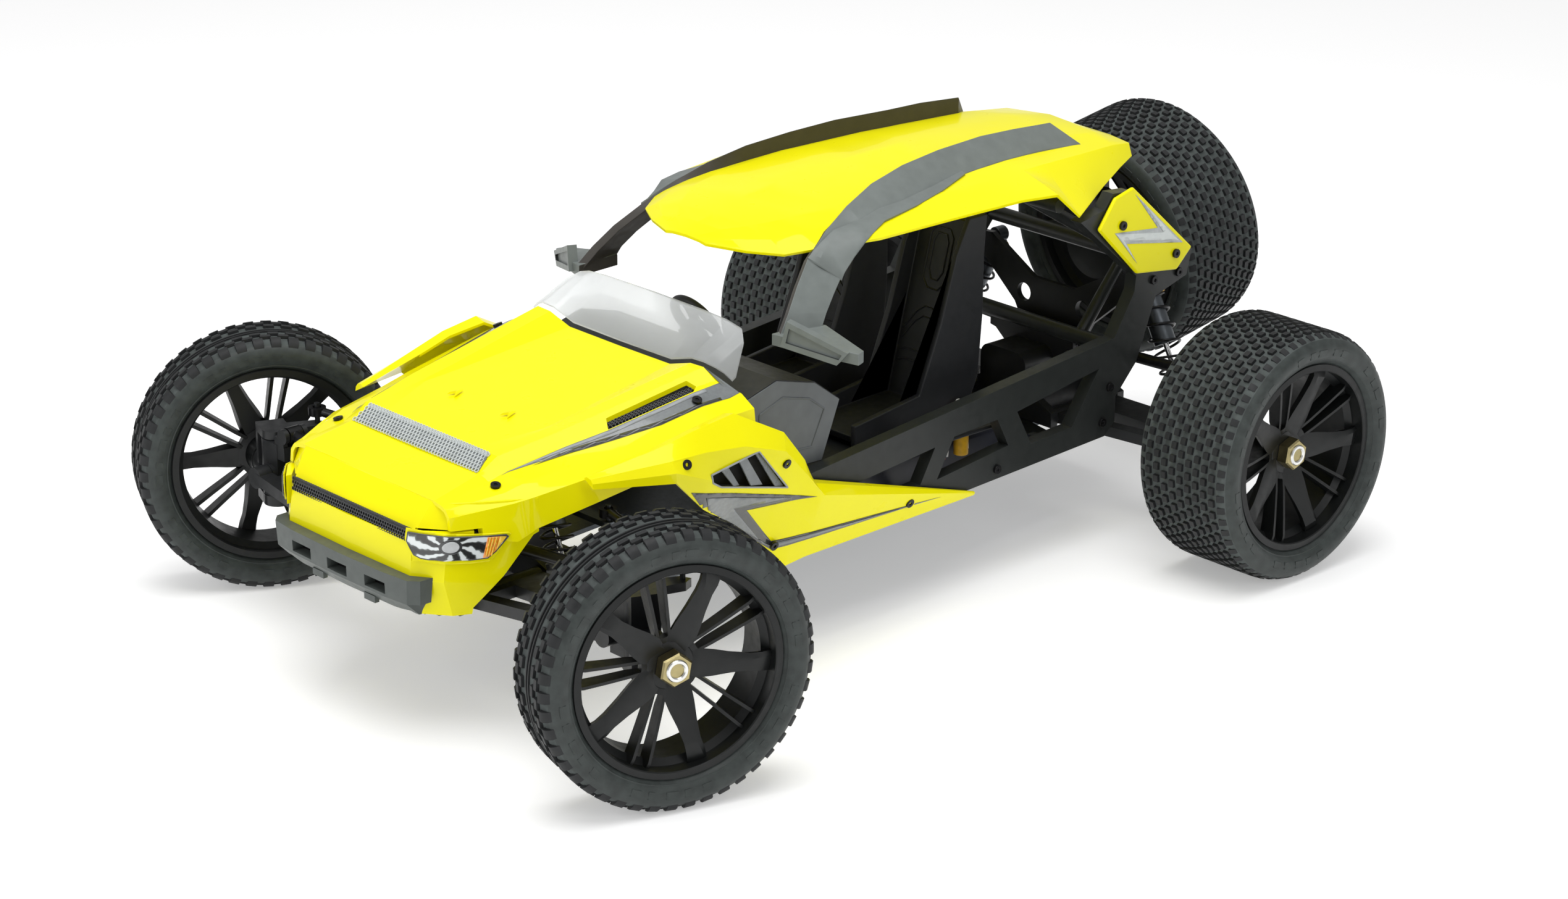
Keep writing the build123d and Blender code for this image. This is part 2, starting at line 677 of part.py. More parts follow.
# ---- corners ------------------------------------------------------------------
for end, corner, bore_r in (("front", FRONT, 6.6), ("rear", REAR, 7.2)):
    upright = make_caster_block(corner) if end == "front" else make_hub_carrier(corner, REAR_WHEEL.radius)
    body, shaft, coil = make_shock(corner, bore_r)
    left_pieces = {
        "lower_arm": make_lower_arm(corner),
        "upper_link": make_upper_link(corner),
        "caster_block" if end == "front" else "hub_carrier": upright,
        "shock_body": body,
        "shock_shaft": shaft,
        "shock_spring": coil,
    }
    for name, piece in left_pieces.items():
        save(piece, f"{end}_{name}_left")
        save(mirrored(piece), f"{end}_{name}_right")

for side, hand in ((1, "left"), (-1, "right")):
    save(make_knuckle(side), f"front_knuckle_{hand}")
    save(make_tie_rod(side), f"tie_rod_{hand}")
    front = front_wheel_plane(side)
    rear = wheel_plane(REAR_X, side * REAR_TRACK, REAR_WHEEL.radius, side)
    for end, plane, wheel in (("front", front, FRONT_WHEEL), ("rear", rear, REAR_WHEEL)):
        save(make_tyre(plane, wheel), f"{end}_tyre_{hand}")
        save(make_rim(plane, wheel), f"{end}_rim_{hand}")

spare = wheel_plane(SPARE_X, 0, SPARE_Z, 1, lean=SPARE_LEAN)
save(make_tyre(spare, REAR_WHEEL), "spare_tyre")
save(make_rim(spare, REAR_WHEEL, fixed=True), "spare_rim")

# ---- cockpit frame ------------------------------------------------------------
FRAME_OUTLINE = [
    (62, 58), (-197, 70), (-206, 78), (-206, 94), (-224, 113), (-240, 153), (-268, 161), (-272, 177),
    (-214, 226), (-197, 227.5), (-190, 218.5), (-169, 214.5), (-221, 170), (-220, 160), (-203, 133), (62, 107),
]
FRAME_WINDOWS = [
    [(20, 92), (-48, 99), (-36, 78), (20, 74)],
    [(-64, 102), (-101, 104), (-111, 85), (-50, 78)],
    [(-118, 105), (-190, 116), (-167, 83), (-131, 81)],
]
with BuildPart() as side_frame:
    slab(FRAME_OUTLINE, side_plane(FRAME_Y), FRAME_THICK, FRAME_WINDOWS)
save(side_frame, "side_frame_left")
save(mirrored(side_frame), "side_frame_right")

CAGE_Y = FRAME_Y - FRAME_THICK - 0.1
with BuildPart() as cage_crossbars:
    for x, z, radius in ((-255, 169, 5), (-160, 225, 4.5), (-214, 122, 5)):
        rod((MID_X + x, -CAGE_Y, z), (MID_X + x, CAGE_Y, z), radius)
    for side in (1, -1):
        rod((MID_X - 214, side * 60, 122), (MID_X - 255, side * 60, 169), 4)
        rod((MID_X - 255, side * 60, 169), (MID_X - 160, side * 60, 225), 4)
        rod((MID_X - 255, side * 8, 169), (MID_X - 290, side * 8, 166), 5)
    lean_axis = spare.z_dir
    hub_back = spare.origin - lean_axis * 46
    with BuildSketch(Plane(origin=hub_back, z_dir=lean_axis)):
        Circle(20)
    extrude(amount=19)
save(cage_crossbars, "cage_crossbars")

# ---- body panels --------------------------------------------------------------
# centre, foot and top of the dished middle, ridge, foot of the riser, shoulder, side
HOOD_HALVES = [
    (296, [(0, 141), (40, 141.3), (50, 141.5), (60, 141.5), (66, 140.5), (70, 139), (73, 135), (74.5, 124)]),
    (263, [(0, 148), (40, 148.3), (50, 148.5), (58, 148.5), (66, 146), (80, 143.5), (88, 139.5), (91, 118)]),
    (252, [(0, 156), (40, 156.3), (52, 156.6), (60, 156.5), (68, 150), (82, 146.5), (92, 141.5), (94.5, 124)]),
    (214, [(0, 161.5), (53.5, 161.8), (56, 162.4), (66, 163), (73, 157.5), (87, 150.5), (98, 146), (100, 131)]),
    (190, [(0, 164.2), (51.5, 164.5), (57, 166.2), (68, 167.2), (75.5, 161.5), (91, 153.5), (102, 149.5),
           (104, 136)]),
    (131, [(0, 172), (46.5, 172.3), (61.5, 176.8), (73, 177.3), (81, 171.8), (92, 167), (105, 160.3), (106, 148)]),
    (100, [(0, 176.2), (44, 176.5), (64, 182.2), (75.5, 182.6), (84, 176), (92, 171), (106, 161.5), (107, 153)]),
]
NOSE_HALVES = [
    (76, [(307, 0), (305, 54), (293, 70), (268, 82), (250, 86)]),
    (98, [(312, 0), (311, 56), (300, 72), (268, 86), (250, 92)]),
    (123, [(310.5, 0), (308, 56), (297, 72), (266, 88), (250, 93)]),
    (141, [(297, 0), (296, 58), (290, 70), (264, 86), (250, 93)]),
]


def nose_section(z, half):
    """The wall round the front as one closed shape at height z."""
    line = [(x, y) for x, y in reversed(half)] + [(x, -y) for x, y in half if y > 0]
    with BuildSketch(plan_plane(z)) as section:
        Polygon(*line, *reversed(shift_line(line, SHELL)), align=None)
    return section.sketch


with BuildPart() as hood:
    skin([(x, whole(half)) for x, half in HOOD_HALVES])
    loft([nose_section(z, half) for z, half in NOSE_HALVES], ruled=True)
    # the rear edge sweeps back towards the doors
    with BuildSketch(plan_plane(100)):
        Polygon((113.5, 75), (110, 88), (104, 96), (102, 120), (80, 120), (80, -120), (102, -120), (104, -96),
                (110, -88), (113.5, -75), align=None)
    extrude(amount=120, mode=Mode.SUBTRACT)
    # the wheel arch opens the sides behind the nose
    with BuildSketch(side_plane(120)):
        Polygon((284, 60), (283, 80), (270, 97), (253, 120), (240, 126), (240, 60), align=None)
    extrude(amount=240, mode=Mode.SUBTRACT)
    # the long air slit over the bumper and the headlight openings
    with BuildSketch(cross_plane(280)):
        with Locations((0, 123)):
            Rectangle(106, 6)
        for side in (1, -1):
            Polygon((side * 55, 127), (side * 56, 109), (side * 84, 109), (side * 90, 128), align=None)
    extrude(amount=40, mode=Mode.SUBTRACT)
    # the grille openings: one across the step, one along each ridge
    with BuildSketch(plan_plane(140)):
        with Locations((257.6, 0)):
            Rectangle(5.2, 110)
        for side in (1, -1):
            Polygon((184, side * 72), (128, side * 76), (125, side * 81), (129, side * 83), (187, side * 77.5),
                    align=None)
    extrude(amount=45, mode=Mode.SUBTRACT)
save(hood, "hood")

with BuildPart() as headlight:
    with BuildSketch(plan_plane(109.5)):
        Polygon((310.6, 58), (299.3, 72), (284, 79.2), (281.9, 75.5), (296, 69), (307, 57.5), align=None)
    extrude(amount=17)
save(both_sides(headlight), "headlights")

with BuildPart() as front_bumper:
    lower = [(300, -62), (309, -61), (312, -42), (313, 0), (312, 42), (309, 61), (300, 62)]
    upper = [(300, -67), (312, -66.5), (317, -61), (319, -42), (320, 0), (319, 42), (317, 61), (312, 66.5),
             (300, 67)]
    middle = [(300, -66), (311.5, -65.5), (316.5, -60), (318.5, -42), (319.5, 0), (318.5, 42), (316.5, 60),
              (311.5, 65.5), (300, 66)]
    for z, outline in ((86, middle), (100.5, upper)):
        with BuildSketch(plan_plane(z)):
            Polygon(*outline, align=None)
    loft(ruled=True)
    for z, outline in ((78.5, lower), (86, [middle[0], *middle[2:7], middle[8]])):
        with BuildSketch(plan_plane(z)):
            Polygon(*outline, align=None)
    loft(ruled=True)
    # its back lies against the nose
    with BuildSketch(plan_plane(75.4)):
        Polygon((312, 0), (311, 56), (300, 72), (270, 82), (270, -82), (300, -72), (311, -56), align=None)
    extrude(amount=50, mode=Mode.SUBTRACT)
    with BuildSketch(cross_plane(300)):
        for y in (-34, 0, 34):
            with Locations((y, 91)):
                Rectangle(18, 6.5)
    extrude(amount=30, mode=Mode.SUBTRACT)
    # two short skids below the lip
    for side in (1, -1):
        with BuildSketch(cross_plane(312.2)):
            with Locations((side * 24, 79)):
                Rectangle(10, 4)
        extrude(amount=3)
save(front_bumper, "front_bumper")

# each station of the screen: y, foot (x, z) and head (x, z)
SCREEN_HALF = [
    (0, (111.5, 176.2), (86, 200.5)), (44, (111.5, 176.6), (85.5, 199.8)), (62, (111.5, 181.6), (83.5, 197.8)),
    (72, (111.5, 182), (82, 194.8)), (79, (108.5, 179.5), (87, 189.8)), (84, (106.5, 177), (94.5, 182.5)),
    (89, (104.8, 173.2), (102, 175)),
]


def screen_section(y, foot, head):
    """A strip of the sheet's thickness from its foot to its head."""
    thick = 1.4
    with BuildSketch(side_plane(y)) as section:
        Polygon(foot, head, (head[0] + 0.4 * thick, head[1] + 0.9 * thick),
                (foot[0] + 0.4 * thick, foot[1] + 0.9 * thick), align=None)
    return section.sketch


with BuildPart() as windshield:
    right = [screen_section(-y, foot, head) for y, foot, head in reversed(SCREEN_HALF)]
    left = [screen_section(y, foot, head) for y, foot, head in SCREEN_HALF[1:]]
    loft(right + left, ruled=True)
save(windshield, "windshield")

POD_LINES = [
    (224, [(100.5, 148), (103, 149.4), (106, 148.8), (108, 146.5), (108.6, 143.5)]),
    (178, [(106, 156.5), (112, 158), (121, 152), (125, 146), (125, 140)]),
    (154, [(108.5, 162), (115, 163.5), (123, 152), (124, 136), (120, 117)]),
    (128, [(108, 165), (116, 167), (126, 150), (122, 128), (110, 100)]),
    (98, [(109, 150), (125, 151), (127, 140), (117, 110), (104, 72)]),
    (78, [(105, 128), (121, 128.5), (123, 120), (113, 95), (103, 57)]),
    (61, [(103.5, 107.5), (111, 107), (120, 102), (110, 80), (103, 58.8)]),
    (-79, [(102.4, 64), (103.4, 63.9), (103.8, 63.2), (103.6, 62.6), (102.8, 61.5)]),
]
with BuildPart() as pod:
    skin(POD_LINES[1:7], depth=2.0)
    for ahead, behind in (POD_LINES[:2], POD_LINES[6:]):
        ends = []
        for x, line in (ahead, behind):
            with BuildSketch(cross_plane(x), mode=Mode.PRIVATE) as section:
                Polygon(*line, align=None)
            ends.append(section.sketch)
        loft(ends, ruled=True)
    # the air vent between the two upper screws
    with BuildSketch(side_plane(130)):
        Polygon((151.5, 138), (117, 144.5), (89, 113.5), (143, 128.4), (150, 133), align=None)
    extrude(amount=22, mode=Mode.SUBTRACT)
save(both_sides(pod), "side_pods")

ROOF_HALVES = [
    (62, [(0, 231.5), (6, 231.3), (12, 231), (18, 230)]),
    (52, [(0, 236.5), (18, 236), (32, 233.5), (42, 229)]),
    (40, [(0, 240.5), (30, 239), (50, 235), (62, 229)]),
    (20, [(0, 245), (42, 242.5), (58, 238.5), (74, 232)]),
    (-10, [(0, 249.5), (50, 245), (68, 241), (90, 235.5)]),
    (-60, [(0, 253), (46, 249.5), (72, 244.5), (96, 238)]),
    (-120, [(0, 255), (42, 251), (74, 246), (98.5, 238.5)]),
    (-147, [(0, 255), (41, 250.7), (72, 246), (101, 237)]),
    (-166, [(0, 254.5), (40, 250), (70, 245.5), (102.5, 220)]),
    (-212, [(0, 253), (39, 248.5), (62, 242.5), (78, 224)]),
    (-245, [(0, 248.5), (38, 245), (55, 240), (62, 227)]),
    (-264, [(0, 240), (35, 239), (51, 237), (54, 229)]),
]
with BuildPart() as roof_panel:
    skin([(x, whole(half)) for x, half in ROOF_HALVES], depth=2.0)
save(roof_panel, "roof_panel")

# each station of a rail: crest, outer edge, the way to its hidden side, and the
# depth that way below the crest and below the outer edge
DOWN = (0, 0, -1)
INBOARD = (-0.15, -0.82, -0.55)
RAIL_STATIONS = [
    ((-203, 40, 259), (-219, 51.5, 244.8), DOWN, 11.5, 1.5), ((-169, 40.7, 261.3), (-180, 53.3, 248), DOWN, 12, 1.5),
    ((-141, 40.4, 262), (-145, 56, 249), DOWN, 12, 1.5), ((-100, 45.2, 262), (-100, 60.5, 248.6), DOWN, 12, 1.5),
    ((-66, 49.2, 259.8), (-66, 66, 246.4), DOWN, 11.5, 1.5), ((-35, 55, 255.6), (-35, 73, 242.6), DOWN, 10, 2),
    ((-9.4, 61.4, 248.5), (-12, 79, 237), (-0.1, -0.4, -0.9), 7, 3),
    ((12.3, 67.3, 239.5), (4, 81.5, 226.5), INBOARD, 5, 5), ((33, 73.7, 227.7), (14, 84.5, 219), INBOARD, 5, 5),
    ((48.5, 81.4, 215.7), (27, 90, 209), INBOARD, 5, 5), ((60.5, 87.2, 203.7), (36, 93.5, 200.5), INBOARD, 5, 5),
    ((71, 91, 192), (41, 95, 193), INBOARD, 5, 5),
]
with BuildPart() as rail:
    wires = []
    for crest, outer, hidden, crest_depth, outer_depth in RAIL_STATIONS:
        top = Vector(*crest) + Vector(MID_X, 0, 0)
        edge = Vector(*outer) + Vector(MID_X, 0, 0)
        way = Vector(*hidden)
        wires.append(Wire.make_polygon([top, edge, edge + way * outer_depth, top + way * crest_depth]))
    add(Solid.make_loft(wires, ruled=True))
    # the wedge at the foot points outward like a small mirror
    with BuildSketch(plan_plane(187)):
        Polygon((72, 86), (71, 93), (50, 135), (44, 133), (38, 95), (40, 88), align=None)
    extrude(amount=7)
save(both_sides(rail), "roof_rails")

with BuildPart() as rear_panel:
    slab(
        [(-182, 207.5), (-196, 225.5), (-212, 229.5), (-268.5, 180), (-255, 167.5), (-218, 172.5)],
        side_plane(FRAME_Y + 3.6), 3,
    )
save(both_sides(rear_panel), "rear_panels")

# ---- cockpit ------------------------------------------------------------------
with BuildPart() as dashboard:
    slab([(96, 110), (98, 158), (70, 166), (40, 158), (20, 143), (34, 108)], side_plane(88), 176)
    with BuildSketch(plan_plane(100)):
        with Locations((50, 0)):
            Rectangle(60, 150)
    extrude(amount=46, mode=Mode.SUBTRACT)
    column = Plane(origin=(MID_X + 24, -46, 150), z_dir=(-0.86, 0, 0.5))
    with BuildSketch(column):
        Circle(4)
    extrude(amount=12)
    ring = column.offset(12)
    with BuildSketch(Plane(origin=ring.origin, x_dir=ring.x_dir, z_dir=-ring.y_dir)):
        with Locations((17, 0)):
            Circle(3)
    revolve(axis=Axis(ring.origin, ring.z_dir))
    with BuildSketch(ring.offset(-1.5)):
        Rectangle(34, 6)
    extrude(amount=3)
save(dashboard, "dashboard")

with BuildPart() as seat:
    back_outline = [(-88, 97), (-84, 106), (-112, 218), (-121, 218), (-116, 180), (-106, 97)]
    slab(back_outline, side_plane(62), 40)
    slab([(-88, 97), (-16, 99), (-14, 104), (-84, 106)], side_plane(62), 40)
    for y in (66, 22):
        slab([(-106, 94), (-60, 94), (-14, 97), (-14, 111), (-68, 118), (-85, 160), (-97, 200), (-108, 222),
              (-123, 222), (-121, 196), (-121, 160), (-118, 120)], side_plane(y), 4)
with BuildPart() as seats:
    add(both_sides(seat).part)
    # the cockpit's floor joins the two seats
    slab([(-118, -87), (22, -87), (22, 87), (-118, 87)], plan_plane(92.5), 2.5)
save(seats, "seats")

# ---- screws that hold the panels ----------------------------------------------
Screw = namedtuple("Screw", "point normal")
SCREWS = [
    Screw((263, 72, 144.9), (0.1, 0.25, 1)), Screw((132, 89.5, 168.1), (0.15, 0.4, 1)),
    Screw((168.5, 122, 148), (0.2, 1, 0.4)), Screw((95, 123.6, 131.3), (-0.1, 1, -0.3)),
    Screw((90, 107.8, 75.2), (0, 1, -0.3)), Screw((-20, 106.8, 73), (0, 1, -0.3)),
    Screw((-202.5, 103.6, 207), (0, 1, 0)), Screw((-252.5, 103.6, 179), (0, 1, 0)),
    Screw((-237, 100.1, 164), (0, 1, 0)), Screw((-260, 100.1, 164.5), (0, 1, 0)),
    Screw((-194, 100.1, 80), (0, 1, 0)), Screw((-101, 100.1, 72), (0, 1, 0)),
    Screw((-200, 100.1, 102), (0, 1, 0)),
]
with BuildPart() as screw_side:
    for screw in SCREWS:
        x, y, z = screw.point
        seat_plane = Plane(origin=(MID_X + x, y, z), z_dir=screw.normal)
        with BuildSketch(seat_plane):
            Circle(2.9)
        extrude(amount=1.7)
        with BuildSketch(seat_plane.offset(0.7)):
            RegularPolygon(1.2, 6)
        extrude(amount=1.2, mode=Mode.SUBTRACT)
save(both_sides(screw_side), "body_screws")
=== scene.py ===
import json
from collections import namedtuple
from math import cos, pi, radians, sin, sqrt

import bmesh
import bpy
from mathutils import Matrix, Vector
from mathutils.bvhtree import BVHTree


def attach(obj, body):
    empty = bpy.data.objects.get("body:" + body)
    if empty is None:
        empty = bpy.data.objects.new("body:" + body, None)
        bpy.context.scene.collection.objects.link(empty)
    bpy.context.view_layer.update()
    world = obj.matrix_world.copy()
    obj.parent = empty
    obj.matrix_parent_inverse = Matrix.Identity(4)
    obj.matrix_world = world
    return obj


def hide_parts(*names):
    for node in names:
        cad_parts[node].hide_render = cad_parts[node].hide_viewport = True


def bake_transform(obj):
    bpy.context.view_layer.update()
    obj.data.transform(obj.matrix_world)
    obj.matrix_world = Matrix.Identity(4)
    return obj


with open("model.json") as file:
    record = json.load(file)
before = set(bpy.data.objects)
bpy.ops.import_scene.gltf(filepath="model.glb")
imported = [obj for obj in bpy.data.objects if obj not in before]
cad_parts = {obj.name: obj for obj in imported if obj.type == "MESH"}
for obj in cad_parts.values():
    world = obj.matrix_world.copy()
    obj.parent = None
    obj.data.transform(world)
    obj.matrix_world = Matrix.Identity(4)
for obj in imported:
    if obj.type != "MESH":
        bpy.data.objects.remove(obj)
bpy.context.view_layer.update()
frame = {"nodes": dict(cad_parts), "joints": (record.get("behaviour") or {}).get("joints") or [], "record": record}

# The off-road model buggy's looks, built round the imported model.  Shapes are
# written in millimetres from mid-wheelbase on the ground, +X forward, +Y to the
# car's left, +Z up, and CAR turns them into the frame's metres.

nodes = frame["nodes"]
joints = {joint["name"]: joint for joint in frame["joints"]}

MM = 0.001
MID_X = (joints["front_left_suspension"]["pos_m"][0] + joints["rear_left_suspension"]["pos_m"][0]) / 2
CAR = Matrix.Translation((MID_X, 0, 0)) @ Matrix.Scale(MM, 4)
SIDES = ((1, "left"), (-1, "right"))


# ---- finishes -------------------------------------------------------------------
class Finish:
    """A procedural material. Sizes are in millimetres, and sockets are set by name."""

    def __init__(self, name, colour, roughness, **sockets):
        self.material = bpy.data.materials.new(name)
        self.material.use_nodes = True
        self.tree = self.material.node_tree
        self.shader = self.tree.nodes["Principled BSDF"]
        self.colour = (*colour, 1.0)
        self.shader.inputs["Base Color"].default_value = self.colour
        self.shader.inputs["Roughness"].default_value = roughness
        for socket, value in sockets.items():
            self.shader.inputs[socket.replace("_", " ")].default_value = value
        self.place = self.add("ShaderNodeTexCoord").outputs["Object"]

    def add(self, kind, **settings):
        node = self.tree.nodes.new(kind)
        for key, value in settings.items():
            setattr(node, key, value)
        return node

    def link(self, output, target):
        self.tree.links.new(output, target)

    def noise(self, size, detail=3.0):
        """A cloud pattern whose features are about size millimetres across."""
        noise = self.add("ShaderNodeTexNoise")
        noise.inputs["Scale"].default_value = 1 / (size * MM)
        noise.inputs["Detail"].default_value = detail
        self.link(self.place, noise.inputs["Vector"])
        return noise.outputs["Fac"]

    def ramp(self, value, stops):
        """Colours by value: stops are (position, colour)."""
        ramp = self.add("ShaderNodeValToRGB")
        elements = ramp.color_ramp.elements
        while len(elements) < len(stops):
            elements.new(0.5)
        for element, (position, colour) in zip(elements, stops):
            element.position = position
            element.color = (*colour, 1.0)
        self.link(value, ramp.inputs["Fac"])
        return ramp.outputs["Color"]

    def mottle(self, size, low, high):
        """The colour varies between low and high times its own."""
        stops = [(p, tuple(c * share for c in self.colour[:3])) for p, share in ((0.3, low), (0.7, high))]
        self.link(self.ramp(self.noise(size), stops), self.shader.inputs["Base Color"])
        return self

    def dull(self, size, low, high):
        """The roughness varies between low and high."""
        span = self.add("ShaderNodeMapRange")
        span.inputs["From Min"].default_value = 0.3
        span.inputs["From Max"].default_value = 0.7
        span.inputs["To Min"].default_value = low
        span.inputs["To Max"].default_value = high
        self.link(self.noise(size), span.inputs["Value"])
        self.link(span.outputs["Result"], self.shader.inputs["Roughness"])
        return self

    def grain(self, size, depth, strength=1.0):
        """A raised surface texture, depth millimetres high."""
        bump = self.add("ShaderNodeBump")
        bump.inputs["Strength"].default_value = strength
        bump.inputs["Distance"].default_value = depth * MM
        self.link(self.noise(size, detail=2.0), bump.inputs["Height"])
        self.link(bump.outputs["Normal"], self.shader.inputs["Normal"])
        return self


def plastic(name, colour, roughness, grain=0.5):
    shade = Finish(name, colour, roughness, Specular_IOR_Level=0.32)
    return shade.mottle(9, 0.93, 1.07).dull(5, roughness - 0.06, roughness + 0.06).grain(grain, 0.03, 0.5)


def metal(name, colour, roughness):
    shade = Finish(name, colour, roughness, Metallic=1.0)
    return shade.mottle(4, 0.88, 1.1).dull(2, roughness - 0.06, roughness + 0.08).grain(0.35, 0.008, 0.4)


def rubber(name, colour, roughness):
    shade = Finish(name, colour, roughness, Specular_IOR_Level=0.35)
    return shade.mottle(6, 0.75, 1.3).dull(3, roughness - 0.08, roughness + 0.05).grain(0.7, 0.05, 0.6)


def lamp_print():
    """Black and white rays that swirl round the lamp, on a grey ground."""
    shade = Finish("lamp_print", (0.5, 0.5, 0.5), 0.25, Coat_Weight=1.0, Coat_Roughness=0.05)
    wave = shade.add("ShaderNodeTexWave", wave_type="BANDS", bands_direction="X")
    wave.inputs["Scale"].default_value = 1.0
    wave.inputs["Distortion"].default_value = 2.2
    wave.inputs["Detail"].default_value = 1.0
    wave.inputs["Detail Scale"].default_value = 2.5
    rays = shade.add("ShaderNodeUVMap")
    shade.link(rays.outputs["UV"], wave.inputs["Vector"])
    stops = [(0.28, (0.012, 0.013, 0.013)), (0.40, (0.07, 0.08, 0.078)), (0.60, (0.11, 0.12, 0.115)),
             (0.68, (0.62, 0.68, 0.68)), (0.9, (0.80, 0.85, 0.85))]
    shade.link(shade.ramp(wave.outputs["Fac"], stops), shade.shader.inputs["Base Color"])
    return shade.grain(0.6, 0.01, 0.3)


YELLOW = Finish("yellow_paint", (0.93, 0.86, 0.0), 0.3, Specular_IOR_Level=0.08, Coat_Weight=0.3,
                Coat_Roughness=0.02)
YELLOW.mottle(30, 0.985, 1.0).dull(14, 0.27, 0.34).grain(1.4, 0.006, 0.3)
FRAME_BLACK = plastic("frame_black", (0.021, 0.0235, 0.0225), 0.34)
ARM_BLACK = plastic("arm_black", (0.016, 0.017, 0.018), 0.36)
RAIL_GREY = plastic("rail_grey", (0.17, 0.19, 0.182), 0.4)
# a darker grey painted on the roof rails' undersides and inner faces as shade
RAIL_PAINTED_SHADE = plastic("rail_painted_shade", (0.05, 0.045, 0.04), 0.45)
BUMPER_GREY = plastic("bumper_grey", (0.086, 0.098, 0.092), 0.45)
RIM_BLACK = plastic("rim_black", (0.007, 0.008, 0.008), 0.4)
SEAT_BLACK = plastic("seat_black", (0.016, 0.017, 0.019), 0.44, grain=0.9)
DASH_BLACK = plastic("dash_black", (0.028, 0.029, 0.030), 0.46, grain=0.9)
COWL_GREY = plastic("cowl_grey", (0.12, 0.13, 0.137), 0.42)
SLAT_GREY = plastic("slat_grey", (0.20, 0.215, 0.22), 0.3, grain=0.4)
CASE_BLACK = plastic("case_black", (0.02, 0.02, 0.022), 0.35)
TREAD = rubber("tread_rubber", (0.014, 0.015, 0.016), 0.62)
GROOVE = rubber("groove_rubber", (0.062, 0.072, 0.070), 0.85)
SIDEWALL = rubber("sidewall_rubber", (0.033, 0.040, 0.038), 0.5)
BRASS = metal("aged_brass", (0.40, 0.34, 0.17), 0.38)
SILVER = metal("bright_collar", (0.72, 0.72, 0.70), 0.25)
ALLOY = metal("dark_alloy", (0.10, 0.11, 0.12), 0.38)
CHROME = metal("chrome_shaft", (0.85, 0.85, 0.86), 0.12)
GOLD = metal("gold_collar", (0.75, 0.45, 0.10), 0.3)
BLACK_STEEL = Finish("black_steel", (0.02, 0.02, 0.021), 0.28, Metallic=0.7)
BLACK_STEEL.mottle(3, 0.8, 1.2).grain(0.3, 0.01, 0.3)
DECAL_GREY = Finish("decal_grey", (0.16, 0.175, 0.18), 0.22, Coat_Weight=0.8, Coat_Roughness=0.05)
DECAL_GREY.mottle(2.5, 0.9, 1.1).grain(0.8, 0.004, 0.3)
DECAL_LIGHT = Finish("decal_light", (0.42, 0.45, 0.45), 0.22, Coat_Weight=0.8, Coat_Roughness=0.05)
DECAL_LIGHT.mottle(3, 0.9, 1.1).grain(0.8, 0.004, 0.3)
DECAL_PALE = Finish("decal_pale", (0.66, 0.71, 0.69), 0.22, Coat_Weight=0.8, Coat_Roughness=0.05)
DECAL_PALE.mottle(3, 0.94, 1.0).grain(0.8, 0.004, 0.3)
# dark print on the decals, also used as painted shade on the walls of the rail wedges' recesses
DARK_PRINT_AND_SHADE = Finish("dark_print_and_painted_shade", (0.035, 0.038, 0.04), 0.22, Coat_Weight=0.8, Coat_Roughness=0.05)
DARK_PRINT_AND_SHADE.mottle(2, 0.85, 1.15).grain(0.8, 0.004, 0.3)
# silver for the vent lips, and a painted highlight along the hood wedge decal
SILVER_TRIM_AND_HIGHLIGHT = plastic("silver_trim_and_painted_highlight", (0.34, 0.36, 0.38), 0.35, grain=0.4)
MESH_BRIGHT = plastic("mesh_bright", (0.62, 0.66, 0.66), 0.3, grain=0.4)
MESH_DARK = plastic("mesh_dark", (0.05, 0.052, 0.055), 0.35, grain=0.4)
# near-black plates put behind openings as painted shade
PAINTED_SHADE_BLACK = plastic("painted_shade_black", (0.006, 0.006, 0.006), 0.8)
ORANGE = Finish("indicator_orange", (0.95, 0.30, 0.01), 0.2, Coat_Weight=1.0, Coat_Roughness=0.05)
ORANGE.mottle(1.5, 0.7, 1.2).grain(0.8, 0.02, 0.5)
AMBER = Finish("indicator_amber", (1.0, 0.62, 0.03), 0.2, Coat_Weight=1.0, Coat_Roughness=0.05)
AMBER.mottle(1.5, 0.85, 1.0).grain(0.8, 0.02, 0.5)
LAMP_WHITE = Finish("lamp_white", (0.55, 0.57, 0.58), 0.3).mottle(3, 0.9, 1.1).grain(0.5, 0.01, 0.3)
CELL_WRAP = Finish("cell_wrap", (0.012, 0.013, 0.02), 0.35).mottle(20, 0.7, 1.3).grain(1.5, 0.05, 0.4)
CAN_YELLOW = Finish("capacitor_yellow", (0.75, 0.42, 0.02), 0.35).mottle(4, 0.85, 1.1).grain(0.6, 0.02, 0.4)
WIRE_RED = plastic("wire_red", (0.55, 0.01, 0.01), 0.35)
WIRE_WHITE = plastic("wire_white", (0.75, 0.74, 0.72), 0.4)
LAMP_PRINT = lamp_print()
SCREEN = Finish("frosted_screen", (0.90, 0.93, 0.93), 0.32, Transmission_Weight=0.75, IOR=1.2, Alpha=0.62)
SCREEN.mottle(12, 0.97, 1.0).grain(1.2, 0.01, 0.3)


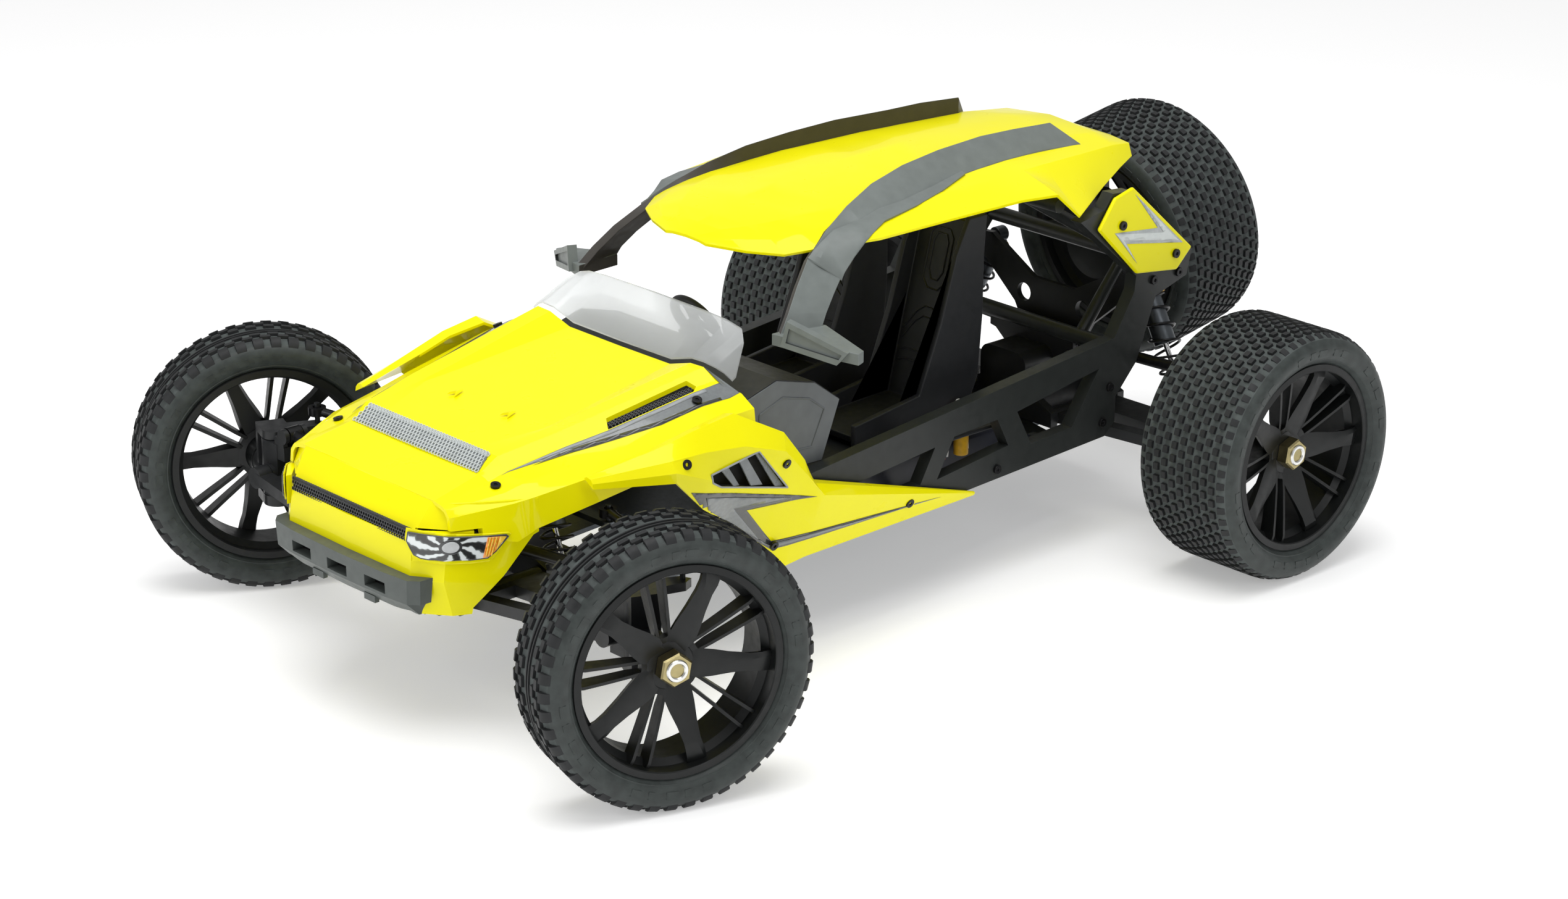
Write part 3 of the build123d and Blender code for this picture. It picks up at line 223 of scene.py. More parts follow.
# ---- making pieces --------------------------------------------------------------
class Shape:
    """Vertices and faces of one piece in millimetres. mark is a face's material index."""

    def __init__(self):
        self.verts, self.faces, self.marks = [], [], []

    def add(self, verts, faces, mark=0):
        start = len(self.verts)
        self.verts += [Vector(v) for v in verts]
        self.faces += [[start + i for i in face] for face in faces]
        self.marks += [mark] * len(faces)

    def loft(self, rings, caps=True, around=False, mark=0):
        """A skin over rings of equal length. around joins the last ring to the first."""
        count = len(rings[0])
        faces = []
        for i in range(len(rings) if around else len(rings) - 1):
            low, high = i * count, (i + 1) % len(rings) * count
            for j in range(count):
                k = (j + 1) % count
                faces.append((low + j, low + k, high + k, high + j))
        if caps and not around:
            faces.append(tuple(reversed(range(count))))
            faces.append(tuple(range((len(rings) - 1) * count, len(rings) * count)))
        self.add([point for ring in rings for point in ring], faces, mark)

    def lathe(self, profile, steps, mark=0, marks=None):
        """A closed (radius, along) outline turned about the z axis. marks has one index per segment."""
        rings = []
        for i in range(steps):
            c, s = cos(2 * pi * i / steps), sin(2 * pi * i / steps)
            rings.append([(r * c, r * s, a) for r, a in profile])
        self.loft(rings, around=True, mark=mark)
        if marks:
            self.marks[-steps * len(profile):] = list(marks) * steps

    def slab(self, outline, normal, thickness, mark=0):
        """A flat plate from a 3-D outline, thickened along normal."""
        rise = Vector(normal).normalized() * thickness
        self.loft([[Vector(p) for p in outline], [Vector(p) + rise for p in outline]], mark=mark)

    def tube(self, points, radius, sides=8, mark=0):
        """A round bar along an open line of points."""
        points = [Vector(p) for p in points]
        rings = []
        across = None
        for i, point in enumerate(points):
            ahead = (points[min(i + 1, len(points) - 1)] - points[max(i - 1, 0)]).normalized()
            across = ahead.orthogonal().normalized() if across is None else across
            across = (across - ahead * across.dot(ahead)).normalized()
            up = ahead.cross(across)
            turns = [2 * pi * k / sides for k in range(sides)]
            rings.append([point + (across * cos(t) + up * sin(t)) * radius for t in turns])
        self.loft(rings, mark=mark)


def finish_mesh(mesh, name, finishes, body, replaces, smooth):
    """A mesh in metres becomes a piece that rides on a body."""
    for finish in finishes:
        mesh.materials.append(finish.material)
    mesh.polygons.foreach_set("use_smooth", [True] * len(mesh.polygons))
    mesh.set_sharp_from_angle(angle=radians(smooth))
    piece = bpy.data.objects.new(name, mesh)
    bpy.context.scene.collection.objects.link(piece)
    if body:
        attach(piece, body)
    if replaces:
        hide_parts(*replaces)
    return piece


def round_edges(piece, width, angle=30, segments=2):
    bevel = piece.modifiers.new("edges", "BEVEL")
    bevel.width = width * MM
    bevel.segments = segments
    bevel.limit_method = "ANGLE"
    bevel.angle_limit = radians(angle)
    bevel.harden_normals = False
    weighted = piece.modifiers.new("shading", "WEIGHTED_NORMAL")
    weighted.keep_sharp = True
    return piece


def make(name, shape, finishes, body="chassis", replaces=(), place=CAR, smooth=35, edges=0.0):
    """One piece from a Shape."""
    finishes = finishes if isinstance(finishes, (list, tuple)) else [finishes]
    mesh = bpy.data.meshes.new(name)
    mesh.from_pydata([place @ v for v in shape.verts], [], shape.faces)
    mesh.polygons.foreach_set("material_index", shape.marks)
    work = bmesh.new()
    work.from_mesh(mesh)
    bmesh.ops.recalc_face_normals(work, faces=work.faces)
    work.to_mesh(mesh)
    work.free()
    mesh.validate()
    piece = finish_mesh(mesh, name, finishes, body, replaces, 180 if edges else smooth)
    if edges:
        round_edges(piece, edges)
    return piece


def cad_copy(node):
    """A CAD node's mesh with its triangles joined into whole faces."""
    work = bmesh.new()
    work.from_mesh(nodes[node].data)
    bmesh.ops.remove_doubles(work, verts=work.verts, dist=0.02 * MM)
    bmesh.ops.dissolve_limit(work, angle_limit=radians(0.6), verts=work.verts, edges=work.edges)
    mesh = bpy.data.meshes.new(node + "_clean")
    work.to_mesh(mesh)
    work.free()
    return mesh


def body_of(node):
    return next(body for body, parts in frame["record"]["behaviour"]["bodies"].items() if node in parts)


def moulded(node, finish, edges=0.4, angle=30, smooth=180, pick=None, lower=None):
    """The CAD node again with rounded edges, as the piece that is seen.

    pick(middle, normal) chooses a face's finish, and lower(point) says how far a point of the copy sinks.
    """
    mesh = cad_copy(node)
    if lower:
        for vertex in mesh.vertices:
            vertex.co.z -= lower(CAR.inverted() @ vertex.co) * MM
    finishes = finish if isinstance(finish, (list, tuple)) else [finish]
    if pick:
        back = CAR.inverted()
        choice = [pick(back @ face.center, face.normal) for face in mesh.polygons]
        mesh.polygons.foreach_set("material_index", choice)
    piece = finish_mesh(mesh, node + "_moulding", finishes, body_of(node), [node], smooth)
    return round_edges(piece, edges, angle) if edges else piece


def repaint(node, finish):
    """A CAD node that stays as it is gets a detailed material."""
    mesh = nodes[node].data
    mesh.materials.clear()
    mesh.materials.append(finish.material)


# ---- camera, light and floor ------------------------------------------------------
CAMERA_AZIMUTH = 47.34     # from +X towards +Y
CAMERA_ELEVATION = 20.30
CAMERA_ROLL = 0.35
CAMERA_DISTANCE = 2294.4
CAMERA_AIM = (6.83, 26.27, 90.85)
SENSOR = 36.0
LENS_LENGTH = 87.51
SKY_LIGHT = 0.45           # the white sky lights the car less than it shows to the camera
FLOOR_HALF = 9.0           # metres


def make_camera():
    azimuth, elevation = radians(CAMERA_AZIMUTH), radians(CAMERA_ELEVATION)
    back = Vector((cos(elevation) * cos(azimuth), cos(elevation) * sin(azimuth), sin(elevation)))
    camera = bpy.data.objects.new("camera", bpy.data.cameras.new("camera"))
    camera.data.sensor_width = SENSOR
    camera.data.lens = LENS_LENGTH
    turn = back.to_track_quat("Z", "Y").to_matrix().to_4x4() @ Matrix.Rotation(radians(CAMERA_ROLL), 4, "Z")
    camera.matrix_world = Matrix.Translation(CAR @ Vector(CAMERA_AIM) + back * CAMERA_DISTANCE * MM) @ turn
    bpy.context.scene.collection.objects.link(camera)
    bpy.context.scene.camera = camera


def make_light(name, power, size, where, aim=(0.0, 0.0, 0.1)):
    """A square soft box that looks at the car."""
    light = bpy.data.objects.new(name, bpy.data.lights.new(name, "AREA"))
    light.data.energy = power
    light.data.size = size
    light.location = where
    light.rotation_mode = "QUATERNION"
    light.rotation_quaternion = (Vector(where) - Vector(aim)).to_track_quat("Z", "Y")
    bpy.context.scene.collection.objects.link(light)


def make_studio():
    world = bpy.data.worlds.new("studio")
    world.use_nodes = True
    tree = world.node_tree
    sky = tree.nodes["Background"]
    sky.inputs["Color"].default_value = (1.0, 1.0, 1.0, 1.0)
    seen = tree.nodes.new("ShaderNodeLightPath")
    strength = tree.nodes.new("ShaderNodeMapRange")
    strength.inputs["To Min"].default_value = SKY_LIGHT
    strength.inputs["To Max"].default_value = 1.0
    tree.links.new(seen.outputs["Is Camera Ray"], strength.inputs["Value"])
    tree.links.new(strength.outputs["Result"], sky.inputs["Strength"])
    bpy.context.scene.world = world
    bpy.context.scene.view_settings.view_transform = "Standard"
    make_light("top_box", 27.0, 1.6, (0.3, 0.2, 1.9))
    make_light("front_box", 7.0, 0.9, (1.9, -0.5, 1.1))
    make_light("side_box", 5.0, 0.7, (0.2, 2.1, 1.2))
    paper = Finish("pale_floor", (0.93, 0.93, 0.93), 0.7, Emission_Color=(1.0, 1.0, 1.0, 1.0),
                   Emission_Strength=0.32)
    paper.mottle(300, 0.995, 1.0)
    mesh = bpy.data.meshes.new("floor")
    corners = [(x * FLOOR_HALF, y * FLOOR_HALF, 0) for x, y in ((-1, -1), (1, -1), (1, 1), (-1, 1))]
    mesh.from_pydata(corners, [], [(0, 1, 2, 3)])
    mesh.materials.append(paper.material)
    floor = bpy.data.objects.new("floor", mesh)
    bpy.context.scene.collection.objects.link(floor)


# ---- things laid on the body panels --------------------------------------------------
PLAN, SIDE = "plan", "side"


def surface_tree(node):
    mesh = nodes[node].data
    return BVHTree.FromPolygons([v.co for v in mesh.vertices], [p.vertices for p in mesh.polygons])


def grid_cut(outline, cell):
    """A flat outline cut into cells: its points in the plane and its faces."""
    work = bmesh.new()
    work.faces.new([work.verts.new((u, v, 0)) for u, v in outline])
    for axis in (0, 1):
        low = min(p[axis] for p in outline)
        high = max(p[axis] for p in outline)
        normal = Vector((1, 0, 0)) if axis == 0 else Vector((0, 1, 0))
        for i in range(1, int((high - low) / cell) + 1):
            geometry = work.verts[:] + work.edges[:] + work.faces[:]
            bmesh.ops.bisect_plane(work, geom=geometry, dist=1e-4, plane_co=normal * (low + i * cell),
                                   plane_no=normal)
    work.verts.index_update()
    points = [(vert.co.x, vert.co.y) for vert in work.verts]
    faces = [[v.index for v in face.verts] for face in work.faces]
    work.free()
    return points, faces


def drape(outline, node, looking, side=1, lift=0.15, cell=3.0):
    """A patch of the node's surface under an outline: (x, y) seen from above, or (x, z) from the side."""
    flat, faces = grid_cut(outline, cell)
    tree = surface_tree(node)
    shape = Shape()
    points = []
    for u, v in flat:
        if looking == PLAN:
            start, way = Vector((u, side * v, 400)), Vector((0, 0, -1))
        else:
            start, way = Vector((u, side * 300, v)), Vector((0, -side, 0))
        hit, normal, _, _ = tree.ray_cast(CAR @ start, way)
        if hit is None:
            hit, normal, _, _ = tree.find_nearest(CAR @ (start + way * 190))
        if normal.dot(way) > 0:
            normal = -normal
        points.append(CAR.inverted() @ (hit + normal * lift * MM))
    shape.add(points, faces)
    return shape


def sticker(name, outline, node, looking, finish, lift=0.15, both=True):
    """A thin printed film on a panel, on one side or both."""
    for side, hand in SIDES if both else SIDES[:1]:
        shape = drape(outline, node, looking, side, lift)
        piece = make(f"{name}_{hand}", shape, finish, smooth=60)
        film = piece.modifiers.new("film", "SOLIDIFY")
        film.thickness = 0.12 * MM
        film.offset = 0


def honeycomb(name, corners, finish, pitch=2.5, wall=0.28, depth=1.2, gap=2.0, behind=PAINTED_SHADE_BLACK):
    """A hexagonal mesh over a quad, and a panel behind it, by default black as painted shade. The long edges run
    from the first corner to the second and from the fourth to the third."""
    a, b, c, d = [Vector(p) for p in corners]
    normal = (b - a).cross(d - a).normalized()
    if normal.z < 0:
        normal = -normal
    along = (b - a).normalized()
    across = normal.cross(along)
    if across.dot(d - a) < 0:
        across = -across
    outer = pitch / sqrt(3)
    inner = outer - wall
    rows = int(((d - a).dot(across)) / (outer * 1.5)) + 1
    shape = Shape()
    for row in range(rows + 1):
        v = row * outer * 1.5
        share = min(v / max((d - a).dot(across), 1e-6), 1.0)
        start, end = a.lerp(d, share), b.lerp(c, share)
        count = int((end - start).length / pitch) + 1
        for i in range(count + 1):
            centre = start + along * pitch * (i + 0.5 * (row % 2))
            if (centre - start).dot(along) > (end - start).length:
                continue
            cell = []
            for radius, drop in ((outer, 0), (inner, 0), (inner, depth), (outer, depth)):
                middle = centre - normal * drop
                turns = [k * pi / 3 for k in range(6)]
                cell.append([middle + (along * sin(t) + across * cos(t)) * radius for t in turns])
            shape.loft(cell, around=True)
    make(name, shape, finish, smooth=20)
    panel = Shape()
    panel.slab([p - normal * (depth + gap) for p in (a, b, c, d)], normal, 0.6)
    # the backing panel, black painted shade unless behind is given
    make(name + "_backing", panel, behind)


# ---- body shell ---------------------------------------------------------------------
FOOT_ROOT_Y = 93           # where a roof rail's foot leaves the rail
FOOT_TOP_Z = 194.6
FOOT_FALL = 0.12           # its slope towards the tip


def foot_slope(point):
    """How far a point of the rail's foot sinks."""
    on_foot = point.x > 40 and abs(point.y) > FOOT_ROOT_Y and point.z < FOOT_TOP_Z
    return FOOT_FALL * (abs(point.y) - FOOT_ROOT_Y) if on_foot else 0.0


def make_shell():
    moulded("hood", YELLOW, edges=1.1, angle=12)
    moulded("side_pods", YELLOW, edges=0.9, angle=14)
    moulded("roof_panel", YELLOW, edges=1.2, angle=16)
    moulded("rear_panels", YELLOW, edges=1.4, angle=30)
    moulded("front_bumper", BUMPER_GREY, edges=0.8)
    # the rails' downward and inward faces take the darker grey, which is painted shade
    moulded("roof_rails", [RAIL_GREY, RAIL_PAINTED_SHADE], edges=0.5, angle=25,
            pick=lambda p, n: int(n.z < -0.1 or n.y * p.y < -0.01), lower=foot_slope)
    moulded("windshield", SCREEN, edges=0.3)


# where each rail crosses the roof's edge: its crest, shoulder and outer edge
RAIL_BAND = [((-108, 58, 250.2), (-108, 59.5, 249.6), (-108, 61, 249.2)),
             ((-78, 64.5, 248.2), (-79, 67.5, 247.4), (-80, 70.5, 246.4)),
             ((-47, 69, 245.9), (-50, 73, 244.7), (-52, 76.5, 243.6)),
             ((-28, 69.5, 245.2), (-25, 75, 242.4), (-23, 79.5, 240.8)),
             ((-9.6, 71.5, 242.0), (-5, 82.5, 238.8), (-1, 87.4, 235.4)),
             ((8.7, 69.5, 239.2), (8.6, 83.4, 236.0), (8, 87.4, 228)),
             ((21.4, 71.5, 234.0), (19.5, 77.5, 232.6), (15, 86.4, 219.5)),
             ((33, 74, 228.4), (28, 80, 224), (18, 87, 215.5))]


# the front face of a rail's wedge, and the recess inside it, whose walls are painted dark as shade
WEDGE_FACE = [(69.1, 96.8, 203.8), (70.8, 93.3, 188.3), (55.5, 124, 181.4), (52.5, 130, 189.3)]
WEDGE_RECESS = [(68.5, 98.0, 199.8), (69.4, 96.2, 191.0), (55.0, 125.0, 184.8), (54.2, 126.7, 187.8)]
WEDGE_LIFT = 2.6
WEDGE_DEPTHS = (6, 6, 5, 7)
RECESS_DEPTH = 1.6
# an arrow-shaped boss on the hood, pointing back, about its own middle line
BOSS_FOOT = [(219, -3.4, 161.9), (211, -0.8, 162.9), (209.5, 0, 163.1), (211, 0.8, 162.9), (219, 3.4, 161.9),
             (215.5, 0, 162.2)]
BOSS_CREST = [(217.5, -2.2, 163.2), (212.5, -0.3, 163.9), (212, 0, 163.9), (212.5, 0.3, 163.9),
              (217.5, 2.2, 163.2), (214.8, 0, 163.6)]
BOSS_Y = 24
SLOT_YS = (-34, 0, 34)
SLOT_BACK = [(-9.4, 87.4), (9.4, 87.4), (9.4, 94.6), (-9.4, 94.6)]
SLOT_BACK_XS = (311.2, 311.9)
NOSE_SWEEP = 0.018


def make_wedge(side, hand):
    """The wedge at a roof rail's foot, with a recess in its front face whose walls are painted dark as shade."""
    out = Vector((0.894, side * 0.447, 0))
    face = [Vector((x, side * y, z)) + out * WEDGE_LIFT for x, y, z in WEDGE_FACE]
    rim = [Vector((x, side * y, z)) + out * WEDGE_LIFT for x, y, z in WEDGE_RECESS]
    floor = [point - out * RECESS_DEPTH for point in rim]
    back = [point - out * depth for point, depth in zip(face, WEDGE_DEPTHS)]
    wedge = Shape()
    band = [(k, (k + 1) % 4, (k + 1) % 4 + 4, k + 4) for k in range(4)]
    # the recess walls take the dark finish as painted shade; its floor stays grey
    for ring, next_ring, mark in ((face, rim, 0), (rim, floor, 1), (back, face, 0)):
        wedge.add(ring + next_ring, band, mark)
    wedge.add(floor, [(0, 1, 2, 3)], 0)
    wedge.add(back, [(3, 2, 1, 0)], 0)
    make(f"rail_wedge_{hand}", wedge, [RAIL_GREY, DARK_PRINT_AND_SHADE], smooth=25)


def make_rail_band(side, hand):
    """The strip that carries a rail over the roof's edge."""
    stations = []
    for station in RAIL_BAND:
        line = [Vector((x, side * y, z)) for x, y, z in station]
        under = [point - Vector((0, side * 0.4, 1.2)) for point in reversed(line)]
        stations.append(line + under)
    band = Shape()
    band.loft(stations)
    make(f"rail_band_{hand}", band, RAIL_GREY, smooth=50)


def make_trim():
    """Small mouldings on the shell, and black plates behind the bumper's slots as painted shade."""
    for side, hand in SIDES:
        make_wedge(side, hand)
        boss = Shape()
        boss.loft([[(x, side * BOSS_Y + y, z) for x, y, z in ring] for ring in (BOSS_FOOT, BOSS_CREST)])
        make(f"hood_boss_{hand}", boss, YELLOW, smooth=60)
        make_rail_band(side, hand)
    slots = Shape()
    for y in SLOT_YS:
        planes = [x - NOSE_SWEEP * abs(y) for x in SLOT_BACK_XS]
        slots.loft([[(x, y + across, z) for across, z in SLOT_BACK] for x in planes])
    # black plates behind the slots, painted shade
    make("bumper_slot_backs", slots, PAINTED_SHADE_BLACK)


HOOD_WEDGE = [(255.9, 68.1), (188.3, 77.8), (110.5, 85.5), (102, 95), (112.5, 95.8), (159.3, 90.9),
              (208.7, 80.2)]
# a light silver strip along the wedge decal's inner edge, a painted highlight
WEDGE_PAINTED_HIGHLIGHT = [(252, 69.0), (188.3, 78.3), (122, 84.8), (122, 87.0), (188.3, 80.4), (238, 72.0)]
WEDGE_BORDER = [(238, 73.9), (208.7, 80.0), (159.3, 90.7), (118, 95.0), (118, 93.4), (159, 88.4),
                (208, 77.6)]
FLASH_EDGE = [(165.7, 131), (65.8, 102.1), (116.2, 105.3), (91.1, 77.9), (-17.7, 71.5), (-19, 70.2),
              (89.8, 71.9), (154.5, 117.1)]
FLASH_FILL = [(153.2, 124.2), (84.5, 105.6), (126.5, 109.3), (97, 77.6), (90, 74.2), (149.5, 115.4)]
FLASH_LINE = [(88, 76.3), (-12, 71.0), (-12, 70.6), (88, 73.4)]
FLASH_TAIL = [(-24.7, 71.2), (-47, 69.6), (-24.7, 70.2)]
PANEL_EDGE = [(-213, 225), (-259, 184.8), (-206.8, 194.4), (-217.1, 179.7), (-195.8, 203.3), (-235, 199)]
PANEL_FILL = [(-221.2, 217.6), (-254.9, 187.1), (-204.3, 197.1), (-215.4, 181.5), (-197, 202.5),
              (-240.4, 195.1)]


def make_decals():
    sticker("hood_wedge", HOOD_WEDGE, "hood", PLAN, DECAL_GREY, 0.12)
    # the silver strip along the wedge's inner edge is a painted highlight
    sticker("hood_wedge_painted_highlight", WEDGE_PAINTED_HIGHLIGHT, "hood", PLAN, SILVER_TRIM_AND_HIGHLIGHT, 0.3)
    sticker("hood_wedge_border", WEDGE_BORDER, "hood", PLAN, DARK_PRINT_AND_SHADE, 0.3)
    sticker("pod_flash_edge", FLASH_EDGE, "side_pods", SIDE, DARK_PRINT_AND_SHADE, 0.15)
    sticker("pod_flash_fill", FLASH_FILL, "side_pods", SIDE, DECAL_GREY, 0.4)
    sticker("pod_flash_line", FLASH_LINE, "side_pods", SIDE, DECAL_GREY, 0.4)
    sticker("pod_flash_tail", FLASH_TAIL, "side_pods", SIDE, DECAL_GREY, 0.15)
    sticker("panel_flash_edge", PANEL_EDGE, "rear_panels", SIDE, DECAL_LIGHT, 0.15)
    sticker("panel_flash_fill", PANEL_FILL, "rear_panels", SIDE, DECAL_PALE, 0.35)


SLOT_GRILLE = [(262.9, -56.5, 149.8), (262.9, 56.5, 149.8), (253.5, 54.0, 156.7), (253.5, -54.0, 156.7)]
NOSE_GRILLE = [(309.6, -53, 120.2), (309.6, 53, 120.2), (309.0, 53, 126.0), (309.0, -53, 126.0)]
SIDE_GRILLE = [(185.5, 76.6, 159.8), (129.5, 83.4, 169.2), (127.5, 78.2, 172.2), (183.5, 72.8, 162.6)]


def make_grilles():
    honeycomb("slot_grille", SLOT_GRILLE, MESH_BRIGHT, pitch=2.6, wall=0.42, depth=0.6, gap=0.5,
              behind=DECAL_GREY)
    honeycomb("nose_grille", NOSE_GRILLE, MESH_DARK, pitch=2.2)
    for side, hand in SIDES:
        corners = [(x, side * y, z) for x, y, z in SIDE_GRILLE]
        honeycomb(f"side_grille_{hand}", corners, MESH_DARK, pitch=2.3)


VENT = [(151.5, 138.2), (117, 144.3), (89.5, 113.9), (142.5, 128.2), (149.5, 132.6)]
SLATS = [[(144.5, 139.6), (138.5, 140.4), (126.5, 124.6), (132.5, 126.0)],
         [(131.5, 142.0), (125.0, 143.0), (108.0, 120.0), (119.0, 122.8)],
         [(119.5, 143.6), (115.8, 143.2), (91.0, 114.8), (99.5, 117.2)]]


def make_vents():
    """Sloping slats in each side pod's opening, a black box behind them as painted shade, and a bright lip round
    it.
    """
    for side, hand in SIDES:
        def at(x, z, deep):
            return (x, side * (124 + 0.2 * (z - 136) - deep), z)

        slats = Shape()
        for outline in SLATS:
            (x0, z0), (x1, z1), (x2, z2), (x3, z3) = outline
            rings = []
            for (xa, za), (xb, zb) in (((x0, z0), (x1, z1)), ((x3, z3), (x2, z2))):
                rings.append([at(xa, za, 0.5), at(xb, zb, 2.2), at(xb, zb, 3.4), at(xa, za, 1.9)])
            slats.loft(rings)
        make(f"vent_slats_{hand}", slats, SLAT_GREY, smooth=20, edges=0.25)
        lip = Shape()
        ends = [at(x, z, 0.25) for x, z in VENT]
        for a, b in zip(ends, ends[1:] + ends[:1]):
            lip.tube([a, b], 0.55, 8)
        make(f"vent_lip_{hand}", lip, SILVER_TRIM_AND_HIGHLIGHT, smooth=60)
        back = Shape()
        back.loft([[at(x, z, 7) for x, z in VENT], [at(x, z, 6.4) for x, z in VENT]])
        # the black box behind the slats is painted shade
        make(f"vent_back_{hand}", back, PAINTED_SHADE_BLACK)


# ---- lamps ----------------------------------------------------------------------------
LAMP_CORNER = Vector((299.6, 72.4, 0))
LAMP_FRONT = Vector((0.628, -0.778, 0))
LAMP_REAR = Vector((-0.894, 0.448, 0))
LAMP_OUT_FRONT = Vector((0.778, 0.628, 0))
LAMP_OUT_REAR = Vector((0.448, 0.894, 0))
LAMP = [(-19.5, 127.2), (-13.1, 126.4), (-7, 125.9), (2.4, 125.0), (14.3, 124.0), (23.5, 123.6),
        (34.3, 123.4), (35.6, 122.5), (28.3, 114.4), (23.8, 110.9), (14, 110.6), (-8, 111.8), (-13, 112.4),
        (-16.6, 114.2), (-18.6, 118), (-20.4, 122)]
LAMP_CENTRE = (3.6, 119.2)
INDICATOR = [(23.9, 123.0), (30.6, 122.9), (28.4, 115.0), (24.1, 111.5), (21.0, 111.3)]
INDICATOR_END = [(30.6, 122.9), (34.4, 122.5), (28.4, 115.0)]


def lamp_point(s, z, side, lift):
    """s runs back along the lamp from its upright corner."""
    share = min(max(0.5 + s / 4, 0.0), 1.0)
    out = LAMP_OUT_FRONT.lerp(LAMP_OUT_REAR, share).normalized()
    point = LAMP_CORNER + (LAMP_REAR * s if s > 0 else LAMP_FRONT * -s) + out * lift
    return (point.x, side * point.y, z)


def lamp_patch(name, outline, finish, side, lift, thick=0.5, cell=1.5, rays=False):
    flat, faces = grid_cut(outline, cell)
    shape = Shape()
    shape.add([lamp_point(s, z, side, lift) for s, z in flat], faces)
    piece = make(name, shape, finish, smooth=60)
    if rays:
        uv = piece.data.uv_layers.new(name="UVMap")
        for face in piece.data.polygons:
            first = None
            for loop in face.loop_indices:
                s, z = flat[piece.data.loops[loop].vertex_index]
                offset = Vector((s - LAMP_CENTRE[0], (z - LAMP_CENTRE[1]) * 1.5))
                turn = offset.angle_signed(Vector((-1, 0))) / (2 * pi) if offset.length > 0.01 else 0.0
                if first is None:
                    first = turn
                turn -= round(turn - first)
                uv.data[loop].uv = (turn * 2.83 + offset.length * 0.012, offset.length * 0.09)
    film = piece.modifiers.new("film", "SOLIDIFY")
    film.thickness = thick * MM
    film.offset = 0
    return piece


def ellipse(a, b, steps=32):
    return [(LAMP_CENTRE[0] + a * cos(2 * pi * i / steps), LAMP_CENTRE[1] + b * sin(2 * pi * i / steps))
            for i in range(steps)]


def make_lamps():
    repaint("headlights", YELLOW)
    middle_s, middle_z = LAMP_CENTRE
    for side, hand in SIDES:
        surround = [(middle_s + (s - middle_s) * 1.05, middle_z + (z - middle_z) * 1.28) for s, z in LAMP]
        lamp_patch(f"lamp_surround_{hand}", surround, YELLOW, side, 0.45, cell=1.2)
        lamp_patch(f"lamp_print_{hand}", LAMP, LAMP_PRINT, side, 1.0, thick=1.2, cell=0.8, rays=True)
        lamp_patch(f"lamp_ring_{hand}", ellipse(6.2, 4.4), DARK_PRINT_AND_SHADE, side, 1.55, cell=0.8)
        lamp_patch(f"lamp_disc_{hand}", ellipse(4.5, 3.2), LAMP_WHITE, side, 1.95, cell=0.8)
        lamp_patch(f"indicator_{hand}", INDICATOR, ORANGE, side, 1.6)
        lamp_patch(f"indicator_end_{hand}", INDICATOR_END, AMBER, side, 1.65)
        for i in range(3):
            a = 0.16 + 0.27 * i
            b = a + 0.13
            low = 21.0 + 5.4 * a, 21.0 + 5.4 * b
            high = 23.9 + 6.7 * a, 23.9 + 6.7 * b
            bar = [(high[0], 122.9), (high[1], 122.9), (low[1] + 0.5, 112.2), (low[0] + 0.5, 112.0)]
            lamp_patch(f"indicator_bar_{i}_{hand}", bar, AMBER, side, 1.9)
        rim = Shape()
        ends = [lamp_point(s, z, side, 1.35) for s, z in LAMP]
        rim.tube(ends + ends[:1], 0.42, 8)
        make(f"lamp_rim_{hand}", rim, DARK_PRINT_AND_SHADE, smooth=60)


# ---- cockpit ----------------------------------------------------------------------------
def back_point(y, share, lift):
    """A point on a seat back's front face: share runs up it from 0 to 1."""
    low, high = Vector((-84, 0, 106)), Vector((-112, 0, 218))
    out = Vector((0.97, 0, 0.243))
    point = low.lerp(high, share) + out * lift
    return (point.x, y, point.z)


def make_cockpit():
    moulded("seats", SEAT_BLACK, edges=0.9, angle=25)
    moulded("dashboard", DASH_BLACK, edges=1.0, angle=25)
    for side, hand in SIDES:
        trim = Shape()
        middle = side * 42
        for wide, low, high in ((9.5, 0.60, 0.93), (6.0, 0.65, 0.90)):
            line = [(-0.6, high), (0.6, high), (1.0, high - 0.04), (1.0, low + 0.05), (0.45, low),
                    (-0.45, low), (-1.0, low + 0.05), (-1.0, high - 0.04), (-0.6, high)]
            trim.tube([back_point(middle + wide * u, share, 0.1) for u, share in line], 0.55, 6)
        for drop in (0, 0.055):
            line = [(-17, 0.36), (-9, 0.46), (-3, 0.50), (3, 0.50), (9, 0.46), (17, 0.36)]
            trim.tube([back_point(middle + u, share - drop, 0.1) for u, share in line], 0.5, 6)
        for share in (0.20, 0.255):
            line = [(-17, share - 0.015), (-11, share), (11, share), (17, share - 0.015)]
            trim.tube([back_point(middle + u, v, 0.1) for u, v in line], 0.5, 6)
        make(f"seat_embossing_{hand}", trim, SEAT_BLACK, smooth=60)
        cowl = Shape()
        plate = [(95.5, 110.5), (97.5, 157.6), (70, 165.4), (40.6, 157.6), (20.8, 143), (34.4, 108.6)]
        cowl.loft([[(x, side * 87.9, z) for x, z in plate], [(x, side * 88.9, z) for x, z in plate]])
        inset = [(84, 148), (66, 154.5), (45, 149), (33, 140), (43, 119), (84, 121)]
        ends = [(x, side * 88.9, z) for x, z in inset]
        cowl.tube(ends + ends[:1], 0.7, 6)
        make(f"dash_cowl_{hand}", cowl, COWL_GREY, smooth=40, edges=0.3)
    ring = Shape()
    for k in range(3):
        t = radians(90 + 120 * k)
        hub = Vector((24 - 0.86 * 13, -46, 150 + 0.5 * 13))
        up, across = Vector((0.5, 0, 0.866)), Vector((0, 1, 0))
        ring.tube([hub, hub + (across * cos(t) + up * sin(t)) * 17], 1.5, 8)
    make("steering_spokes", ring, CASE_BLACK, smooth=60)


